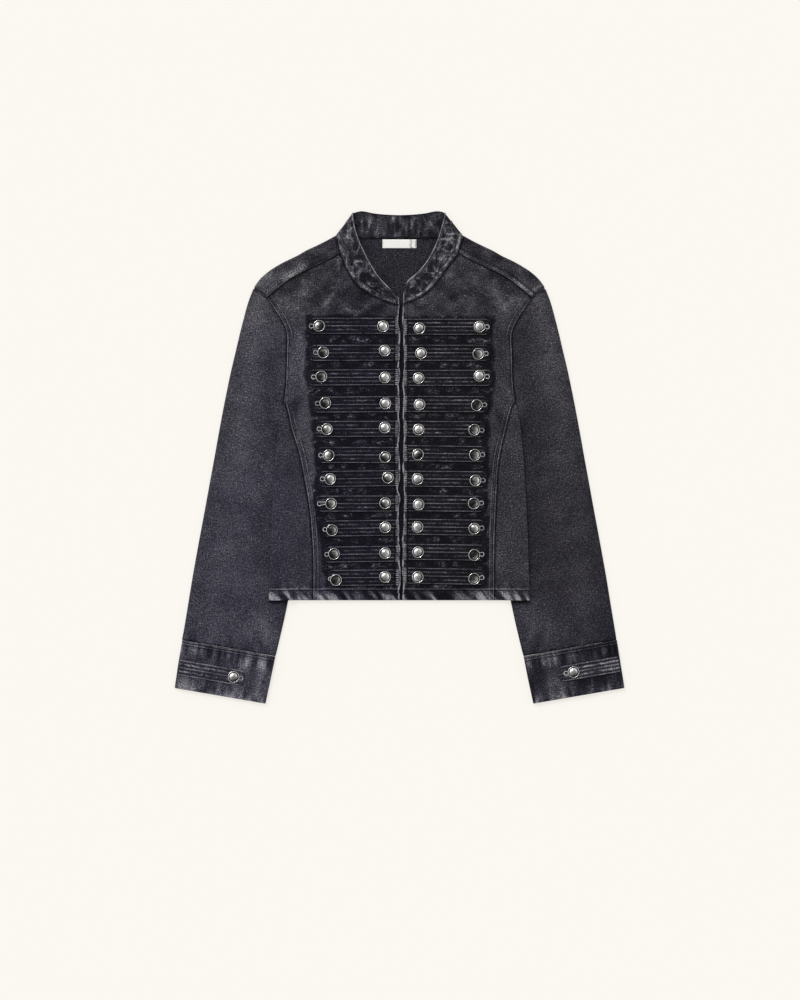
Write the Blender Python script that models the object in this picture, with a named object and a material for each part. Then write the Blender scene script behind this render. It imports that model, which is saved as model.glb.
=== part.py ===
"""Cropped denim jacket with a stand collar and eleven buttoned straps a side, lying flat on its back.

The jacket lies on the plane z = 0 with its front up and its collar towards +Y, and the origin is
under the middle of the whole jacket. Left and right are the wearer's: the wearer's left is at +X.

Outlines are in millimetres, as rows of (out, up): out from the centre line towards one side, and
up from the middle of the jacket's length. Points become metres when a mesh is made.
"""

import math

import bmesh
import bpy
import numpy as np

MM = 0.001

# Cloth, in millimetres.
DENIM = 1.2  # one ply of heavy denim
DOUBLED = 2.2  # collar and cuffs, two plies and their turnings
SEAM = 0.4  # between the edges of two pieces that are sewn together
CLEAR = 0.3  # between a piece and the cloth that it lies on
FLAT = 3.6  # height of a front lying on a back, or of a sleeve's two sides
FOLD = FLAT / 2  # radius of the cloth at a side fold
SLEEVE_CROWN = 1.1  # how much higher a sleeve stands along its middle than at its edges
OVER_SLEEVE = 5.2  # height of the body's underside where it lies on a sleeve
RAMP = 15.0  # width over which it rises to that height, beside the sleeve's edge
LIFT_UP, LIFT_LENGTH = 87.0, 34.0  # where it starts to rise below the underarm, and over what length
CUFF_HEIGHT = 6.0
HEM_RISE = 0.9  # extra height of the turned hem and of the placket strips

# Lengths up the jacket, in millimetres.
HEM_UP = -207.0
HEM_STITCH_UP = -191.0
UNDERARM_UP = 79.0
YOKE_UP = 206.0  # above this the rows of a panel tilt towards the shoulder seam
PLACKET_WIDTH = 6.0

# Body outline: rows of (out, up).
SHOULDER_FOLD = (
    (92.0, 321.5), (115.5, 309.0), (132.0, 301.5), (151.5, 290.5), (165.5, 284.0),
    (178.0, 277.0), (196.0, 264.5), (206.5, 253.0), (211.5, 244.5),
)
SHOULDER_SEAM = (
    (85.0, 295.5), (106.0, 284.0), (130.5, 272.5), (155.0, 259.5), (171.0, 248.0),
    (182.5, 239.0), (192.0, 230.5),
)
ARMHOLE_FRONT = (
    (192.0, 230.5), (181.0, 213.5), (172.5, 200.5), (165.5, 186.0), (163.0, 173.0),
    (163.5, 157.0), (164.0, 138.5), (164.5, 119.5), (165.5, 100.5), (168.4, 79.0),
)
ARMHOLE_BACK = (
    (211.5, 244.5), (205.0, 230.5), (193.5, 206.0), (187.0, 175.5), (182.0, 145.0), (176.0, 114.5),
    (168.3, 84.0), (168.4, 79.0),
)
SIDE_FOLD = (
    (167.0, 79.0), (170.4, 60.0), (173.8, 39.5), (178.5, 3.5), (182.0, -40.0),
    (186.5, -120.0), (189.0, -207.0),
)
BACK_NECK = ((0.0, 317.5), (30.0, 317.5), (58.0, 318.0), (76.0, 319.5), (92.0, 321.5))
COLLAR_SEAM_OVER_SHOULDER = ((85.0, 295.5), (88.5, 308.0), (92.0, 321.5))

# Sleeve outline, from the armhole to the cuff seam: rows of (out, up).
SLEEVE_OUTER = (
    (211.5, 244.5), (222.0, 214.5), (241.5, 135.5), (256.5, 63.0), (266.0, 10.5),
    (280.5, -69.0), (298.0, -164.0), (312.5, -253.0), (314.5, -264.0),
)
SLEEVE_INNER = (
    (168.4, 79.0), (168.8, 76.0), (169.6, 71.0), (170.0, 65.5), (169.4, 59.0), (167.6, 48.0), (165.8, 38.0),
    (161.0, 13.5), (152.0, -6.5), (145.5, -33.0), (143.0, -62.0), (144.5, -105.5), (149.5, -149.0),
    (161.0, -207.0), (169.5, -247.5), (179.2, -288.2),
)
CUFF_CORNERS = ((314.9, -264.5), (179.6, -288.7), (325.9, -334.0), (193.8, -356.7))

# What differs from one side to the other: rows of (out, up), keyed by the wearer's side.
CENTRE_EDGE = {"right": 0.5, "left": 5.6}
PRINCESS = {
    "right": (
        (165.0, 77.5), (160.5, 59.0), (156.5, 40.5), (150.5, 21.0), (144.0, -1.0), (136.5, -40.5),
        (131.0, -73.0), (127.5, -110.5), (125.5, -148.0), (125.5, -207.0),
    ),
    "left": (
        (165.0, 77.5), (159.5, 61.0), (154.5, 40.5), (149.5, 19.0), (145.0, -2.5), (142.5, -27.5),
        (140.5, -67.5), (138.5, -121.0), (138.0, -207.0),
    ),
}
COLLAR_SEAM = {
    "right": (
        (0.5, 221.5), (11.0, 223.0), (34.0, 232.5), (52.0, 243.5), (66.5, 256.5), (77.0, 275.0), (85.0, 295.5),
    ),
    "left": (
        (5.6, 223.5), (12.0, 225.0), (21.5, 228.0), (39.5, 238.5), (54.0, 254.0), (71.0, 277.5), (85.0, 295.5),
    ),
}
COLLAR_EDGE = {
    "right": (
        (0.5, 230.0), (4.0, 236.0), (9.0, 241.5), (18.5, 249.0), (33.0, 266.0), (46.0, 288.0),
        (57.5, 312.5), (64.0, 330.5), (67.5, 354.0),
    ),
    "left": (
        (5.6, 236.0), (6.4, 246.5), (9.0, 252.0), (15.0, 258.0), (30.5, 272.5), (45.0, 293.0),
        (56.0, 317.5), (61.5, 335.5), (66.0, 354.0),
    ),
}
COLLAR_TOP = ((0.0, 351.0), (23.0, 352.0), (43.5, 354.5), (56.0, 356.7), (66.5, 354.0))

# The straps of each front, from the top row down: rows of (height of the inner end's middle, drop of
# the outer end below it, outer end's out, outer stud's out and up, inner stud's out and up).
STRAP_HALF = 12.2
STRAPS = {
    "right": (
        (190.5, 0.0, 132.5, 116.3, 190.2, 23.8, 189.7), (151.6, 0.4, 131.1, 110.2, 151.7, 21.3, 154.6),
        (116.2, 0.7, 132.5, 113.0, 116.9, 21.0, 115.7), (77.0, 0.7, 125.9, 107.3, 78.6, 20.3, 78.0),
        (41.6, 0.7, 123.8, 105.0, 40.7, 21.3, 43.1), (3.5, 0.0, 119.2, 102.5, 2.8, 20.7, 0.4),
        (-30.0, 1.5, 118.0, 100.3, -31.3, 16.7, -29.4), (-66.8, 0.2, 122.4, 99.0, -67.0, 20.7, -66.4),
        (-101.8, 1.5, 112.2, 97.7, -105.5, 20.4, -101.1), (-139.4, 1.5, 109.8, 94.8, -139.9, 20.7, -138.6),
        (-173.7, 1.0, 104.5, 91.8, -177.6, 20.7, -173.0),
    ),
    "left": (
        (189.1, 0.0, 132.8, 115.9, 189.1, 28.9, 186.8), (151.4, 0.0, 132.4, 114.3, 149.8, 31.2, 150.8),
        (115.1, 0.0, 135.0, 115.9, 118.1, 27.8, 114.8), (77.4, 0.4, 129.0, 112.1, 75.4, 29.1, 76.4),
        (41.4, 0.7, 124.6, 108.2, 39.7, 27.8, 40.3), (6.2, 1.5, 126.0, 109.2, 3.5, 26.8, 4.1),
        (-30.8, 1.0, 126.9, 109.9, -33.5, 26.2, -31.3), (-66.4, 1.0, 124.7, 107.6, -66.7, 27.7, -68.3),
        (-100.4, 1.5, 124.7, 108.2, -103.2, 26.2, -100.8), (-136.6, 1.5, 126.0, 108.2, -141.2, 26.8, -137.3),
        (-171.2, 2.0, 125.3, 108.2, -175.8, 26.5, -173.4),
    ),
}
STRAP_THICK = 1.3
TUCK_RISE = 0.8  # height of the padded tucks above the stitched channels
TUCKS = 4
ROUND_END = 9.0  # length of a strap's rounded outer end
ROUND_ANGLES = (0.0, 35.0, 62.0, 80.0)

STUD_SIDES = 12
STUD_PROFILE = ((8.4, 0.0), (8.4, 1.6), (5.3, 3.8))  # rows of (radius, height)
STUD_SUNK = 0.6  # how deep an inner stud's base is riveted into its strap

# Cuff tabs: places on a cuff as shares, across from its outer edge and down from its seam.
TAB_START = 0.02
TAB_HALF = 11.5
# The tab on each side: the shares of the cuff at which its tip lies across and down, and the distance of
# its stud from the tip.
TABS = {"right": (0.729, 0.56, 16.3), "left": (0.68, 0.49, 22.8)}

LABEL_HALF_WIDTH, LABEL_UP, LABEL_THICK = 24.5, (303.3, 315.8), 1.0

# Large soft folds in the upper side of each sleeve: rows of (out, up, half length, half width,
# degrees that it leans out from straight up, rise).
SLEEVE_FOLDS = (
    (190.0, 205.0, 26.0, 9.0, -40.0, 1.1),
    (192.0, 118.0, 55.0, 8.0, -12.0, 0.9),
    (226.0, 60.0, 60.0, 11.0, 14.0, 0.7),
    (208.0, -70.0, 60.0, 10.0, 10.0, 0.8),
    (262.0, -120.0, 55.0, 10.0, 12.0, 0.8),
    (205.0, -262.0, 20.0, 9.0, 12.0, 0.9),
    (285.0, -225.0, 25.0, 9.0, 10.0, 0.8),
)

# Rows and columns of the panels' grids.
BODY_UPS = np.sort([
    HEM_UP, HEM_STITCH_UP - 0.5, HEM_STITCH_UP, UNDERARM_UP - 10.0, *np.linspace(-160.0, YOKE_UP, 13)
])
ARMHOLE_STRIP = 2.0  # width of the back's last columns beside the armhole
YOKE_SHARES = np.linspace(0.0, 1.0, 6)
YOKE_TILT = 3.0  # how much higher the first tilted row meets the armhole
SHOULDER_AHEAD = np.array([0.53, 0.85])  # in plan, square to the shoulder fold

# A sleeve's rows fan out from the underarm, so that each meets the sleeve's edges squarely: rows of
# (share of the outer edge's length, share of the inner edge's).
SLEEVE_ROWS = (
    (0.0, 0.0), (0.04, 0.01), (0.09, 0.025), (0.15, 0.045), (0.22, 0.07), (0.29, 0.10), (0.36, 0.14),
    (0.42, 0.19), (0.48, 0.26), (0.55, 0.35), (0.63, 0.46), (0.72, 0.58), (0.82, 0.71), (0.91, 0.85),
    (1.0, 1.0),
)
ARMHOLE_FADE = 0.42  # share of the outer edge over which the rows lose the armhole's shape
EVEN_BY = 0.09  # share of it over which their points become evenly spaced
LIP_ANGLES = (45.0, 0.0, -45.0)
HALF_LIP = (90.0, 48.0, 6.4)  # the part of a side fold that one side of its seam turns through

LOFT_AT_SEAM, LOFT_AT_EDGE = 5.2, 8.2  # height of the collar's side fold, at its seam and at its top edge
COLLAR_EDGE_SHARE = 0.74  # share of the collar's edge that faces the front panel's part of its seam
COLLAR_OVER_SHARES = (0.5, 0.93)
COLLAR_BACK_SHARES = (0.96, 0.82, 0.55, 0.27)
COLLAR_RISE_SHARES = (0.0, 0.35, 0.7, 1.0)
COLLAR_FOLD_DEPTH = 0.6  # how far the collar's side fold stands out, as a share of its radius

# Materials: colour, roughness and metallic value.
DENIM_FINISH = ("charcoal_denim", (0.045, 0.041, 0.048), 0.9, 0.0)
STRAP_FINISH = ("strap_denim", (0.032, 0.030, 0.037), 0.9, 0.0)
STUD_FINISH = ("antique_silver", (0.42, 0.41, 0.40), 0.38, 1.0)
LABEL_FINISH = ("label_cotton", (0.72, 0.70, 0.66), 0.8, 0.0)

SIDES = {"right": -1.0, "left": 1.0}


def clear_scene():
    for obj in list(bpy.data.objects):
        bpy.data.objects.remove(obj, do_unlink=True)


def finish(values):
    name, colour, roughness, metallic = values
    material = bpy.data.materials.new(name)
    material.use_nodes = True
    shader = material.node_tree.nodes["Principled BSDF"]
    shader.inputs["Base Color"].default_value = (*colour, 1.0)
    shader.inputs["Roughness"].default_value = roughness
    shader.inputs["Metallic"].default_value = metallic
    return material


# Curves and levels


def smooth(table, steps=8):
    """Points along a smooth curve through a table's rows."""
    rows = np.array(table, float)
    rows = np.vstack([2 * rows[0] - rows[1], rows, 2 * rows[-1] - rows[-2]])
    shares = np.linspace(0.0, 1.0, steps, endpoint=False)[:, None]
    spans = [
        b + 0.5 * shares * (c - a + shares * (2 * a - 5 * b + 4 * c - d + shares * (3 * (b - c) + d - a)))
        for a, b, c, d in zip(rows, rows[1:], rows[2:], rows[3:])
    ]
    return np.vstack([*spans, rows[-2]])


def along(table, shares):
    """Points at these shares of the length of the curve through a table's rows."""
    line = smooth(table)
    steps = np.linalg.norm(np.diff(line, axis=0), axis=1)
    reach = np.concatenate([[0.0], np.cumsum(steps)]) / steps.sum()
    return np.stack([np.interp(shares, reach, line[:, axis]) for axis in (0, 1)], axis=-1)


def out_at(table, up):
    """How far out the curve through a table's rows lies at this height."""
    line = smooth(table)
    line = line[np.argsort(line[:, 1])]
    return np.interp(up, line[:, 1], line[:, 0])


def ease(share):
    share = np.clip(share, 0.0, 1.0)
    return share * share * (3 - 2 * share)


def straight(start, end, shares):
    shares = np.asarray(shares, float)[:, None]
    return np.asarray(start) * (1 - shares) + np.asarray(end) * shares


def bend(table, shares):
    """How far the curve through a table's rows departs from the straight line between its ends."""
    return along(table, shares) - straight(table[0], table[-1], shares)


def body_level(out, up):
    """Height of the body's underside: zero on the floor, and higher where it covers a sleeve."""
    covered = ease((out - ramp_start(up)) / RAMP)
    return OVER_SLEEVE * covered * ease((LIFT_UP - up) / LIFT_LENGTH)


def ramp_start(up):
    """Where the body begins to rise over the edge of the sleeve beneath it."""
    return out_at(SLEEVE_INNER, up) - RAMP - 1.0


# Meshes. A wall is a grid of pairs: a point on its outer face and the one behind it on its inner face.


def add_object(name, mesh, material):
    data = bpy.data.meshes.new(name)
    mesh.to_mesh(data)
    mesh.free()
    data.materials.append(material)
    data.shade_smooth()
    data.set_sharp_from_angle(angle=math.radians(40))
    obj = bpy.data.objects.new(name, data)
    bpy.context.scene.collection.objects.link(obj)
    return obj


def wall(name, pairs, material, ring=False, open_on_centre=False):
    """A closed wall from a grid of pairs. A ring's last column joins its first. A half that will be
    mirrored is left open along the centre line."""
    mesh = bmesh.new()
    tops, lows = ([[mesh.verts.new(pair[face] * MM) for pair in row] for row in pairs] for face in (0, 1))
    rows, columns = pairs.shape[:2]
    wraps = columns if ring else columns - 1

    def rim(cells):
        for (i, j), (k, m) in zip(cells, cells[1:]):
            on_centre = abs(pairs[i][j][0][0]) + abs(pairs[k][m][0][0]) < 1e-6
            if not (open_on_centre and on_centre):
                mesh.faces.new((tops[i][j], tops[k][m], lows[k][m], lows[i][j]))

    for i in range(rows - 1):
        for j in range(wraps):
            k = (j + 1) % columns
            mesh.faces.new((tops[i][j], tops[i][k], tops[i + 1][k], tops[i + 1][j]))
            mesh.faces.new((lows[i + 1][j], lows[i + 1][k], lows[i][k], lows[i][j]))
    for i in (0, rows - 1):
        rim([(i, j % columns) for j in range(wraps + 1)])
    if not ring:
        for j in (0, columns - 1):
            rim([(i, j) for i in range(rows)])
    bmesh.ops.recalc_face_normals(mesh, faces=mesh.faces)
    return add_object(name, mesh, material)


def side_wall(name, side, rows, material, ring=False):
    return wall(f"{name}_{side}", np.array(rows) * (SIDES[side], 1.0, 1.0), material, ring)


def ply(plan, outer, inner):
    """Pairs over plan points of the body, at these levels above its underside."""
    plan = np.asarray(plan)
    height = body_level(plan[:, 0], plan[:, 1])
    faces = [np.column_stack([plan, height + level]) for level in (outer, inner)]
    return np.stack(faces, axis=1)


def body_lip(fold, up, sign):
    """Pairs round one half of the body's side fold: the upper half with sign 1, the lower with -1."""
    centre_out, centre_height = fold - FOLD, body_level(fold - FOLD, up) + FOLD
    pairs = []
    for turn in np.radians(HALF_LIP):
        for radius in (FOLD, FOLD - DENIM):
            rise = max(radius * math.sin(turn), SEAM / 2)
            pairs.append((centre_out + radius * math.cos(turn), up, centre_height + sign * rise))
    return np.reshape(pairs, (-1, 2, 3))


# Body panels


def front(side, material):
    """One centre front, from the placket to the princess seam and the armhole, up to the shoulder."""
    centre = CENTRE_EDGE[side]
    strip = centre + np.array([0.0, PLACKET_WIDTH, PLACKET_WIDTH + 0.5])
    rows = []
    for row, up in enumerate(BODY_UPS):
        edge = out_at(ARMHOLE_FRONT if up > UNDERARM_UP else PRINCESS[side], up) - SEAM / 2
        ramp = min(edge - RAMP / 2, ramp_start(up))
        outs = np.concatenate([strip, [(strip[-1] + ramp) / 2], np.linspace(ramp, edge, 4)])
        rise = HEM_RISE * np.array([row < 2 or column < 2 for column in range(len(outs))])
        rows.append(ply(np.column_stack([outs, np.full(len(outs), up)]), FLAT + rise, FLAT - DENIM))
    columns = (outs - centre) / (edge - centre)
    even = np.linspace(0.0, 1.0, len(columns))
    for share in YOKE_SHARES:
        inner = along(COLLAR_SEAM[side], [share])[0] + (SEAM * share, -SEAM)
        up = YOKE_UP + YOKE_TILT + (ARMHOLE_FRONT[0][1] - YOKE_UP - YOKE_TILT) * share
        outer = (out_at(ARMHOLE_FRONT, up) - SEAM / 2, up - SEAM / 2 * share)
        shares = columns + (even - columns) * share
        plan = straight(inner, outer, shares) + bend(SHOULDER_SEAM, shares) * share**2
        rise = HEM_RISE * (even < even[2]) * (share == 0.0)
        rows.append(ply(plan, FLAT + rise, FLAT - DENIM))
    side_wall("front", side, rows, material)


def side_front(side, material):
    """One princess panel, from the princess seam to the side fold, which it turns halfway round."""
    ups = np.concatenate([BODY_UPS[BODY_UPS < UNDERARM_UP], [UNDERARM_UP - 7.0]])
    rows = []
    for row, up in enumerate(ups):
        inner = out_at(PRINCESS[side], up) + SEAM / 2
        fold = out_at(SIDE_FOLD, up) - SEAM / 2
        ramp_end = min(max(ramp_start(up) + RAMP, inner + 0.3 * (fold - inner)), fold - 2 * FOLD)
        outs = [*np.linspace(inner, ramp_end, 4), (ramp_end + fold - FOLD) / 2]
        flat = ply(np.column_stack([outs, np.full(len(outs), up)]), FLAT + HEM_RISE * (row < 2), FLAT - DENIM)
        rows.append(np.concatenate([flat, body_lip(fold, up, 1.0)]))
    side_wall("side", side, rows, material)


def back(material):
    """The back, one half modelled and mirrored. It turns up halfway at the side folds and wraps over the
    shoulder folds to the forward shoulder seams."""
    rows = []
    for up in BODY_UPS:
        folded = up < UNDERARM_UP
        edge = (out_at(SIDE_FOLD, up) - FOLD if folded else out_at(ARMHOLE_BACK, up)) - SEAM / 2
        last = edge if folded else edge - ARMHOLE_STRIP
        ramp_end = min(ramp_start(up) + RAMP, last - FOLD)
        ramp = ramp_end - RAMP
        outs = [0.0, ramp / 2, *np.linspace(ramp, ramp_end, 4), (ramp_end + last) / 2]
        if folded:
            end = body_lip(edge + FOLD, up, -1.0)
        else:
            end = ply(straight((last, up), (edge, up), (0.0, 0.5, 1.0)), 0.0, DENIM)
        rows.append(np.concatenate([ply(np.column_stack([outs, np.full(len(outs), up)]), 0.0, DENIM), end]))
    columns = rows[-1][:, 0, 0] / edge
    even = np.linspace(0.0, 1.0, len(columns))
    for share in np.linspace(0.0, 1.0, 7)[1:]:
        shares = columns + (even - columns) * share
        up = YOKE_UP + (SHOULDER_FOLD[-1][1] - YOKE_UP) * share
        inner = (0.0, YOKE_UP + (BACK_NECK[0][1] - SEAM - YOKE_UP) * min(1.0, share / 0.5))
        if share > 0.5:
            inner = along(BACK_NECK, [(share - 0.5) / 0.5])[0] - (0.0, SEAM)
        outer = (out_at(ARMHOLE_BACK, up) - SEAM / 2, up)
        plan = straight(inner, outer, shares) + bend(SHOULDER_FOLD, shares) * share**3
        rows.append(ply(plan, 0.0, DENIM))
    rows[-1:] = [shoulder_lip(plan, angle) for angle in (-90.0, *LIP_ANGLES[::-1], 90.0)]
    seam_row = along(SHOULDER_SEAM, even) + SHOULDER_AHEAD * SEAM / 2
    seam_row[0, 0] += SEAM
    for share in (0.5, 1.0):
        rows.append(ply(plan * (1 - share) + seam_row * share, FLAT, FLAT - DENIM))
        rows[-1][0, :, 0] = out_at(COLLAR_SEAM_OVER_SHOULDER, rows[-1][0, 0, 1]) + SEAM
    half = wall("back", np.array(rows), material, open_on_centre=True)
    mirror = half.modifiers.new("both_halves", "MIRROR")
    mirror.use_mirror_merge = True
    mirror.merge_threshold = 0.00001


def shoulder_lip(plan, angle):
    """Pairs along the shoulder fold, at an angle below or above its middle."""
    turn = math.radians(angle)
    armhole_ahead = np.array(ARMHOLE_FRONT[0]) - ARMHOLE_BACK[0]
    armhole_ahead /= np.linalg.norm(armhole_ahead)
    faces = []
    for radius in (FOLD, FOLD - DENIM):
        inset = FOLD - radius * math.cos(turn)
        moved = plan - SHOULDER_AHEAD * inset
        moved[-1] = plan[-1] + armhole_ahead * inset
        faces.append(np.column_stack([moved, np.full(len(plan), FOLD + radius * math.sin(turn))]))
        if angle > -90.0:
            beside_collar = out_at(COLLAR_SEAM_OVER_SHOULDER, faces[-1][0, 1]) + SEAM
            faces[-1][0, 0] = max(faces[-1][0, 0], beside_collar)
    return np.stack(faces, axis=1)


# Sleeves and cuffs


def tube_row(upper, lower, height, thickness, crown, inwards):
    """One ring of a flattened tube: over its upper side, round its inner fold, back along its lower
    side and round its outer fold. The plans run from the outer edge to the inner, ends included, and
    inwards holds the direction into the tube at each edge."""
    radius = height / 2
    turns = np.radians(LIP_ANGLES)

    def lip(edge, inward, turns):
        return [
            [(*(edge + inward * (radius - arc * math.cos(turn))), radius + arc * math.sin(turn))
             for arc in (radius, radius - thickness)]
            for turn in turns
        ]

    top = [
        [(*point, height + extra - depth) for depth in (0.0, thickness)]
        for point, extra in zip(upper[1:-1], crown)
    ]
    bottom = [[(*point, depth) for depth in (0.0, thickness)] for point in lower[-2:0:-1]]
    inner_lip, outer_lip = lip(upper[-1], inwards[1], turns), lip(upper[0], inwards[0], turns[::-1])
    return np.array([*top, *inner_lip, *bottom, *outer_lip])


def folds(plan):
    """Rise of the sleeve's upper side at plan points."""
    rise = np.zeros(len(plan))
    for out, up, half_length, half_width, lean, height in SLEEVE_FOLDS:
        ahead = np.array([math.sin(math.radians(lean)), -math.cos(math.radians(lean))])
        away = plan - (out, up)
        lengthwise, crosswise = away @ ahead, away @ (-ahead[1], ahead[0])
        rise += height * np.exp(-((lengthwise / half_length) ** 2) - (crosswise / half_width) ** 2)
    return rise


def inward_normal(table, share, sign):
    """Direction square to the curve through a table's rows at this share of its length."""
    before, after = along(table, [max(0.0, share - 0.004), min(1.0, share + 0.004)])
    tangent = (after - before) / np.linalg.norm(after - before)
    return sign * np.array([-tangent[1], tangent[0]])


def armhole_points(table, tip):
    """Plan points down an armhole at the heights of the body's rows, from the shoulder to the underarm,
    with one more at each end, inset by a fold's radius."""
    ups = [ARMHOLE_FRONT[0][1], *BODY_UPS[BODY_UPS > UNDERARM_UP][::-1]]
    points = np.column_stack([out_at(table, np.array(ups)), ups])
    tip, underarm = np.array(tip), np.array(table[-1])
    ahead = (points[0] - tip) / np.linalg.norm(points[0] - tip)
    behind = (points[-1] - underarm) / np.linalg.norm(points[-1] - underarm)
    return np.vstack([tip, tip + ahead * FOLD, points, underarm + behind * FOLD, underarm])


def sleeve(side, material):
    """One sleeve as a flattened tube, from the armhole to the cuff seam."""
    tip = ARMHOLE_BACK[0]
    armholes = [armhole_points(table, tip) for table in (ARMHOLE_FRONT, ARMHOLE_BACK)]
    steps = np.linalg.norm(np.diff(armholes[0], axis=0), axis=1)
    shares = np.concatenate([[0.0], np.cumsum(steps)]) / steps.sum()
    even = np.linspace(0.0, 1.0, len(shares))
    rows = []
    for outer_share, inner_share in SLEEVE_ROWS:
        outer, inner = along(SLEEVE_OUTER, [outer_share])[0], along(SLEEVE_INNER, [inner_share])[0]
        at_armhole = outer_share == 0.0
        inwards = [
            inward_normal(SLEEVE_OUTER, outer_share, -1.0), inward_normal(SLEEVE_INNER, inner_share, 1.0),
        ]
        if at_armhole:
            across = (inner - outer) / np.linalg.norm(inner - outer)
            inwards = [across, (inwards[1] + (0.0, 1.0)) / math.sqrt(2)]
        fade = np.clip(1.0 - outer_share / ARMHOLE_FADE, 0.0, 1.0) ** 1.3
        level = shares + (even - shares) * min(1.0, outer_share / EVEN_BY)
        plans = []
        for points in armholes:
            plan = straight(outer, inner, level)
            plan += fade * (points - straight(points[0], points[-1], shares)) + (SEAM / 2, -SEAM / 4)
            plan[-2] = plan[-1] + inwards[1] * FOLD
            if not at_armhole:
                plan[1] = plan[0] + inwards[0] * FOLD
            plans.append(plan)
        middle = plans[0][1:-1]
        crown = SLEEVE_CROWN * ease(outer_share / 0.3) * (1 - (2 * level[1:-1] - 1) ** 2)
        open_to_view = 1 - ease((body_cover(middle) + 8.0) / 8.0)
        crown += folds(middle) * open_to_view * ease(outer_share / 0.05)
        rows.append(tube_row(*plans, FLAT, DENIM, crown, inwards))
    side_wall("sleeve", side, rows, material, ring=True)


def body_cover(plan):
    """How far inside the body's side fold these plan points lie."""
    return out_at(SIDE_FOLD, plan[:, 1]) - plan[:, 0]


def cuff_place(across, down):
    """A plan point on a cuff, at a share across from its outer edge and a share down from its seam."""
    top_outer, top_inner, end_outer, end_inner = np.array(CUFF_CORNERS)
    top = top_outer * (1 - across) + top_inner * across
    return top * (1 - down) + (end_outer * (1 - across) + end_inner * across) * down


def cuff(side, material):
    rows = []
    for down in (0.0, 0.5, 1.0):
        width = np.linalg.norm(cuff_place(1.0, down) - cuff_place(0.0, down))
        inset = CUFF_HEIGHT / 2 / width
        plan = np.array([cuff_place(across, down) for across in (0.0, inset, 0.33, 0.67, 1 - inset, 1.0)])
        across = (plan[-1] - plan[0]) / width
        rows.append(tube_row(plan, plan, CUFF_HEIGHT, DOUBLED, np.zeros(len(plan) - 2), (across, -across)))
    side_wall("cuff", side, rows, material, ring=True)


# Collar


def collar_row(start, end, outer, inner):
    """Pairs from the seam to the top edge. outer and inner give each face's height at the two ends."""
    shares = np.array(COLLAR_RISE_SHARES)
    plan = straight(start, end, shares)
    faces = [np.column_stack([plan, low + (high - low) * shares]) for low, high in (outer, inner)]
    return np.stack(faces, axis=1)


def collar_lip(fold_start, fold_end, angle):
    """Pairs along the collar's side fold, at an angle above or below its middle."""
    turn = math.radians(angle)
    shares = np.array(COLLAR_RISE_SHARES)
    plan = straight(fold_start, fold_end, shares)
    radii = (LOFT_AT_SEAM + (LOFT_AT_EDGE - LOFT_AT_SEAM) * shares) / 2
    faces = []
    for depth in (0.0, DOUBLED):
        inset = COLLAR_FOLD_DEPTH * radii * (1 - math.cos(turn)) + depth * math.cos(turn)
        outs = plan[:, 0] - inset
        faces.append(np.column_stack([outs, plan[:, 1], radii + (radii - depth) * math.sin(turn)]))
    return np.stack(faces, axis=1)


def collar_side(side):
    """Rows of one half of the collar, from its front end round the side fold to beside the centre back."""
    starts = np.vstack([
        along(COLLAR_SEAM[side], YOKE_SHARES), along(COLLAR_SEAM_OVER_SHOULDER, COLLAR_OVER_SHARES),
    ])
    over_shares = COLLAR_EDGE_SHARE + (1 - COLLAR_EDGE_SHARE) * np.array(COLLAR_OVER_SHARES)
    edge_shares = np.concatenate([COLLAR_EDGE_SHARE * YOKE_SHARES, over_shares])
    flat_end = FLAT + DOUBLED - DENIM
    rows = []
    for share, start, end in zip(edge_shares, starts, along(COLLAR_EDGE[side], edge_shares)):
        loft = ease((share - 0.35) / 0.65)
        outer = flat_end + loft * (np.array([LOFT_AT_SEAM, LOFT_AT_EDGE]) - flat_end)
        rows.append(collar_row(start, end, outer, outer - DOUBLED))
    for angle in LIP_ANGLES:
        rows.append(collar_lip(BACK_NECK[-1], COLLAR_EDGE[side][-1], angle))
    for share in COLLAR_BACK_SHARES:
        start, end = along(BACK_NECK, [share])[0], along(COLLAR_TOP, [share])[0]
        rows.append(collar_row(start, end, (0.0, 0.0), (DOUBLED, DOUBLED)))
    return rows


def collar(material):
    """The stand collar: two fronts with rounded ends over one back, joined by the side folds."""
    middle = collar_row(BACK_NECK[0], COLLAR_TOP[0], (0.0, 0.0), (DOUBLED, DOUBLED))
    right = np.array(collar_side("right")) * (-1.0, 1.0, 1.0)
    left = np.array(collar_side("left"))
    wall("collar", np.concatenate([right, [middle], left[::-1]]), material)


# Straps, studs and label


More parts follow.
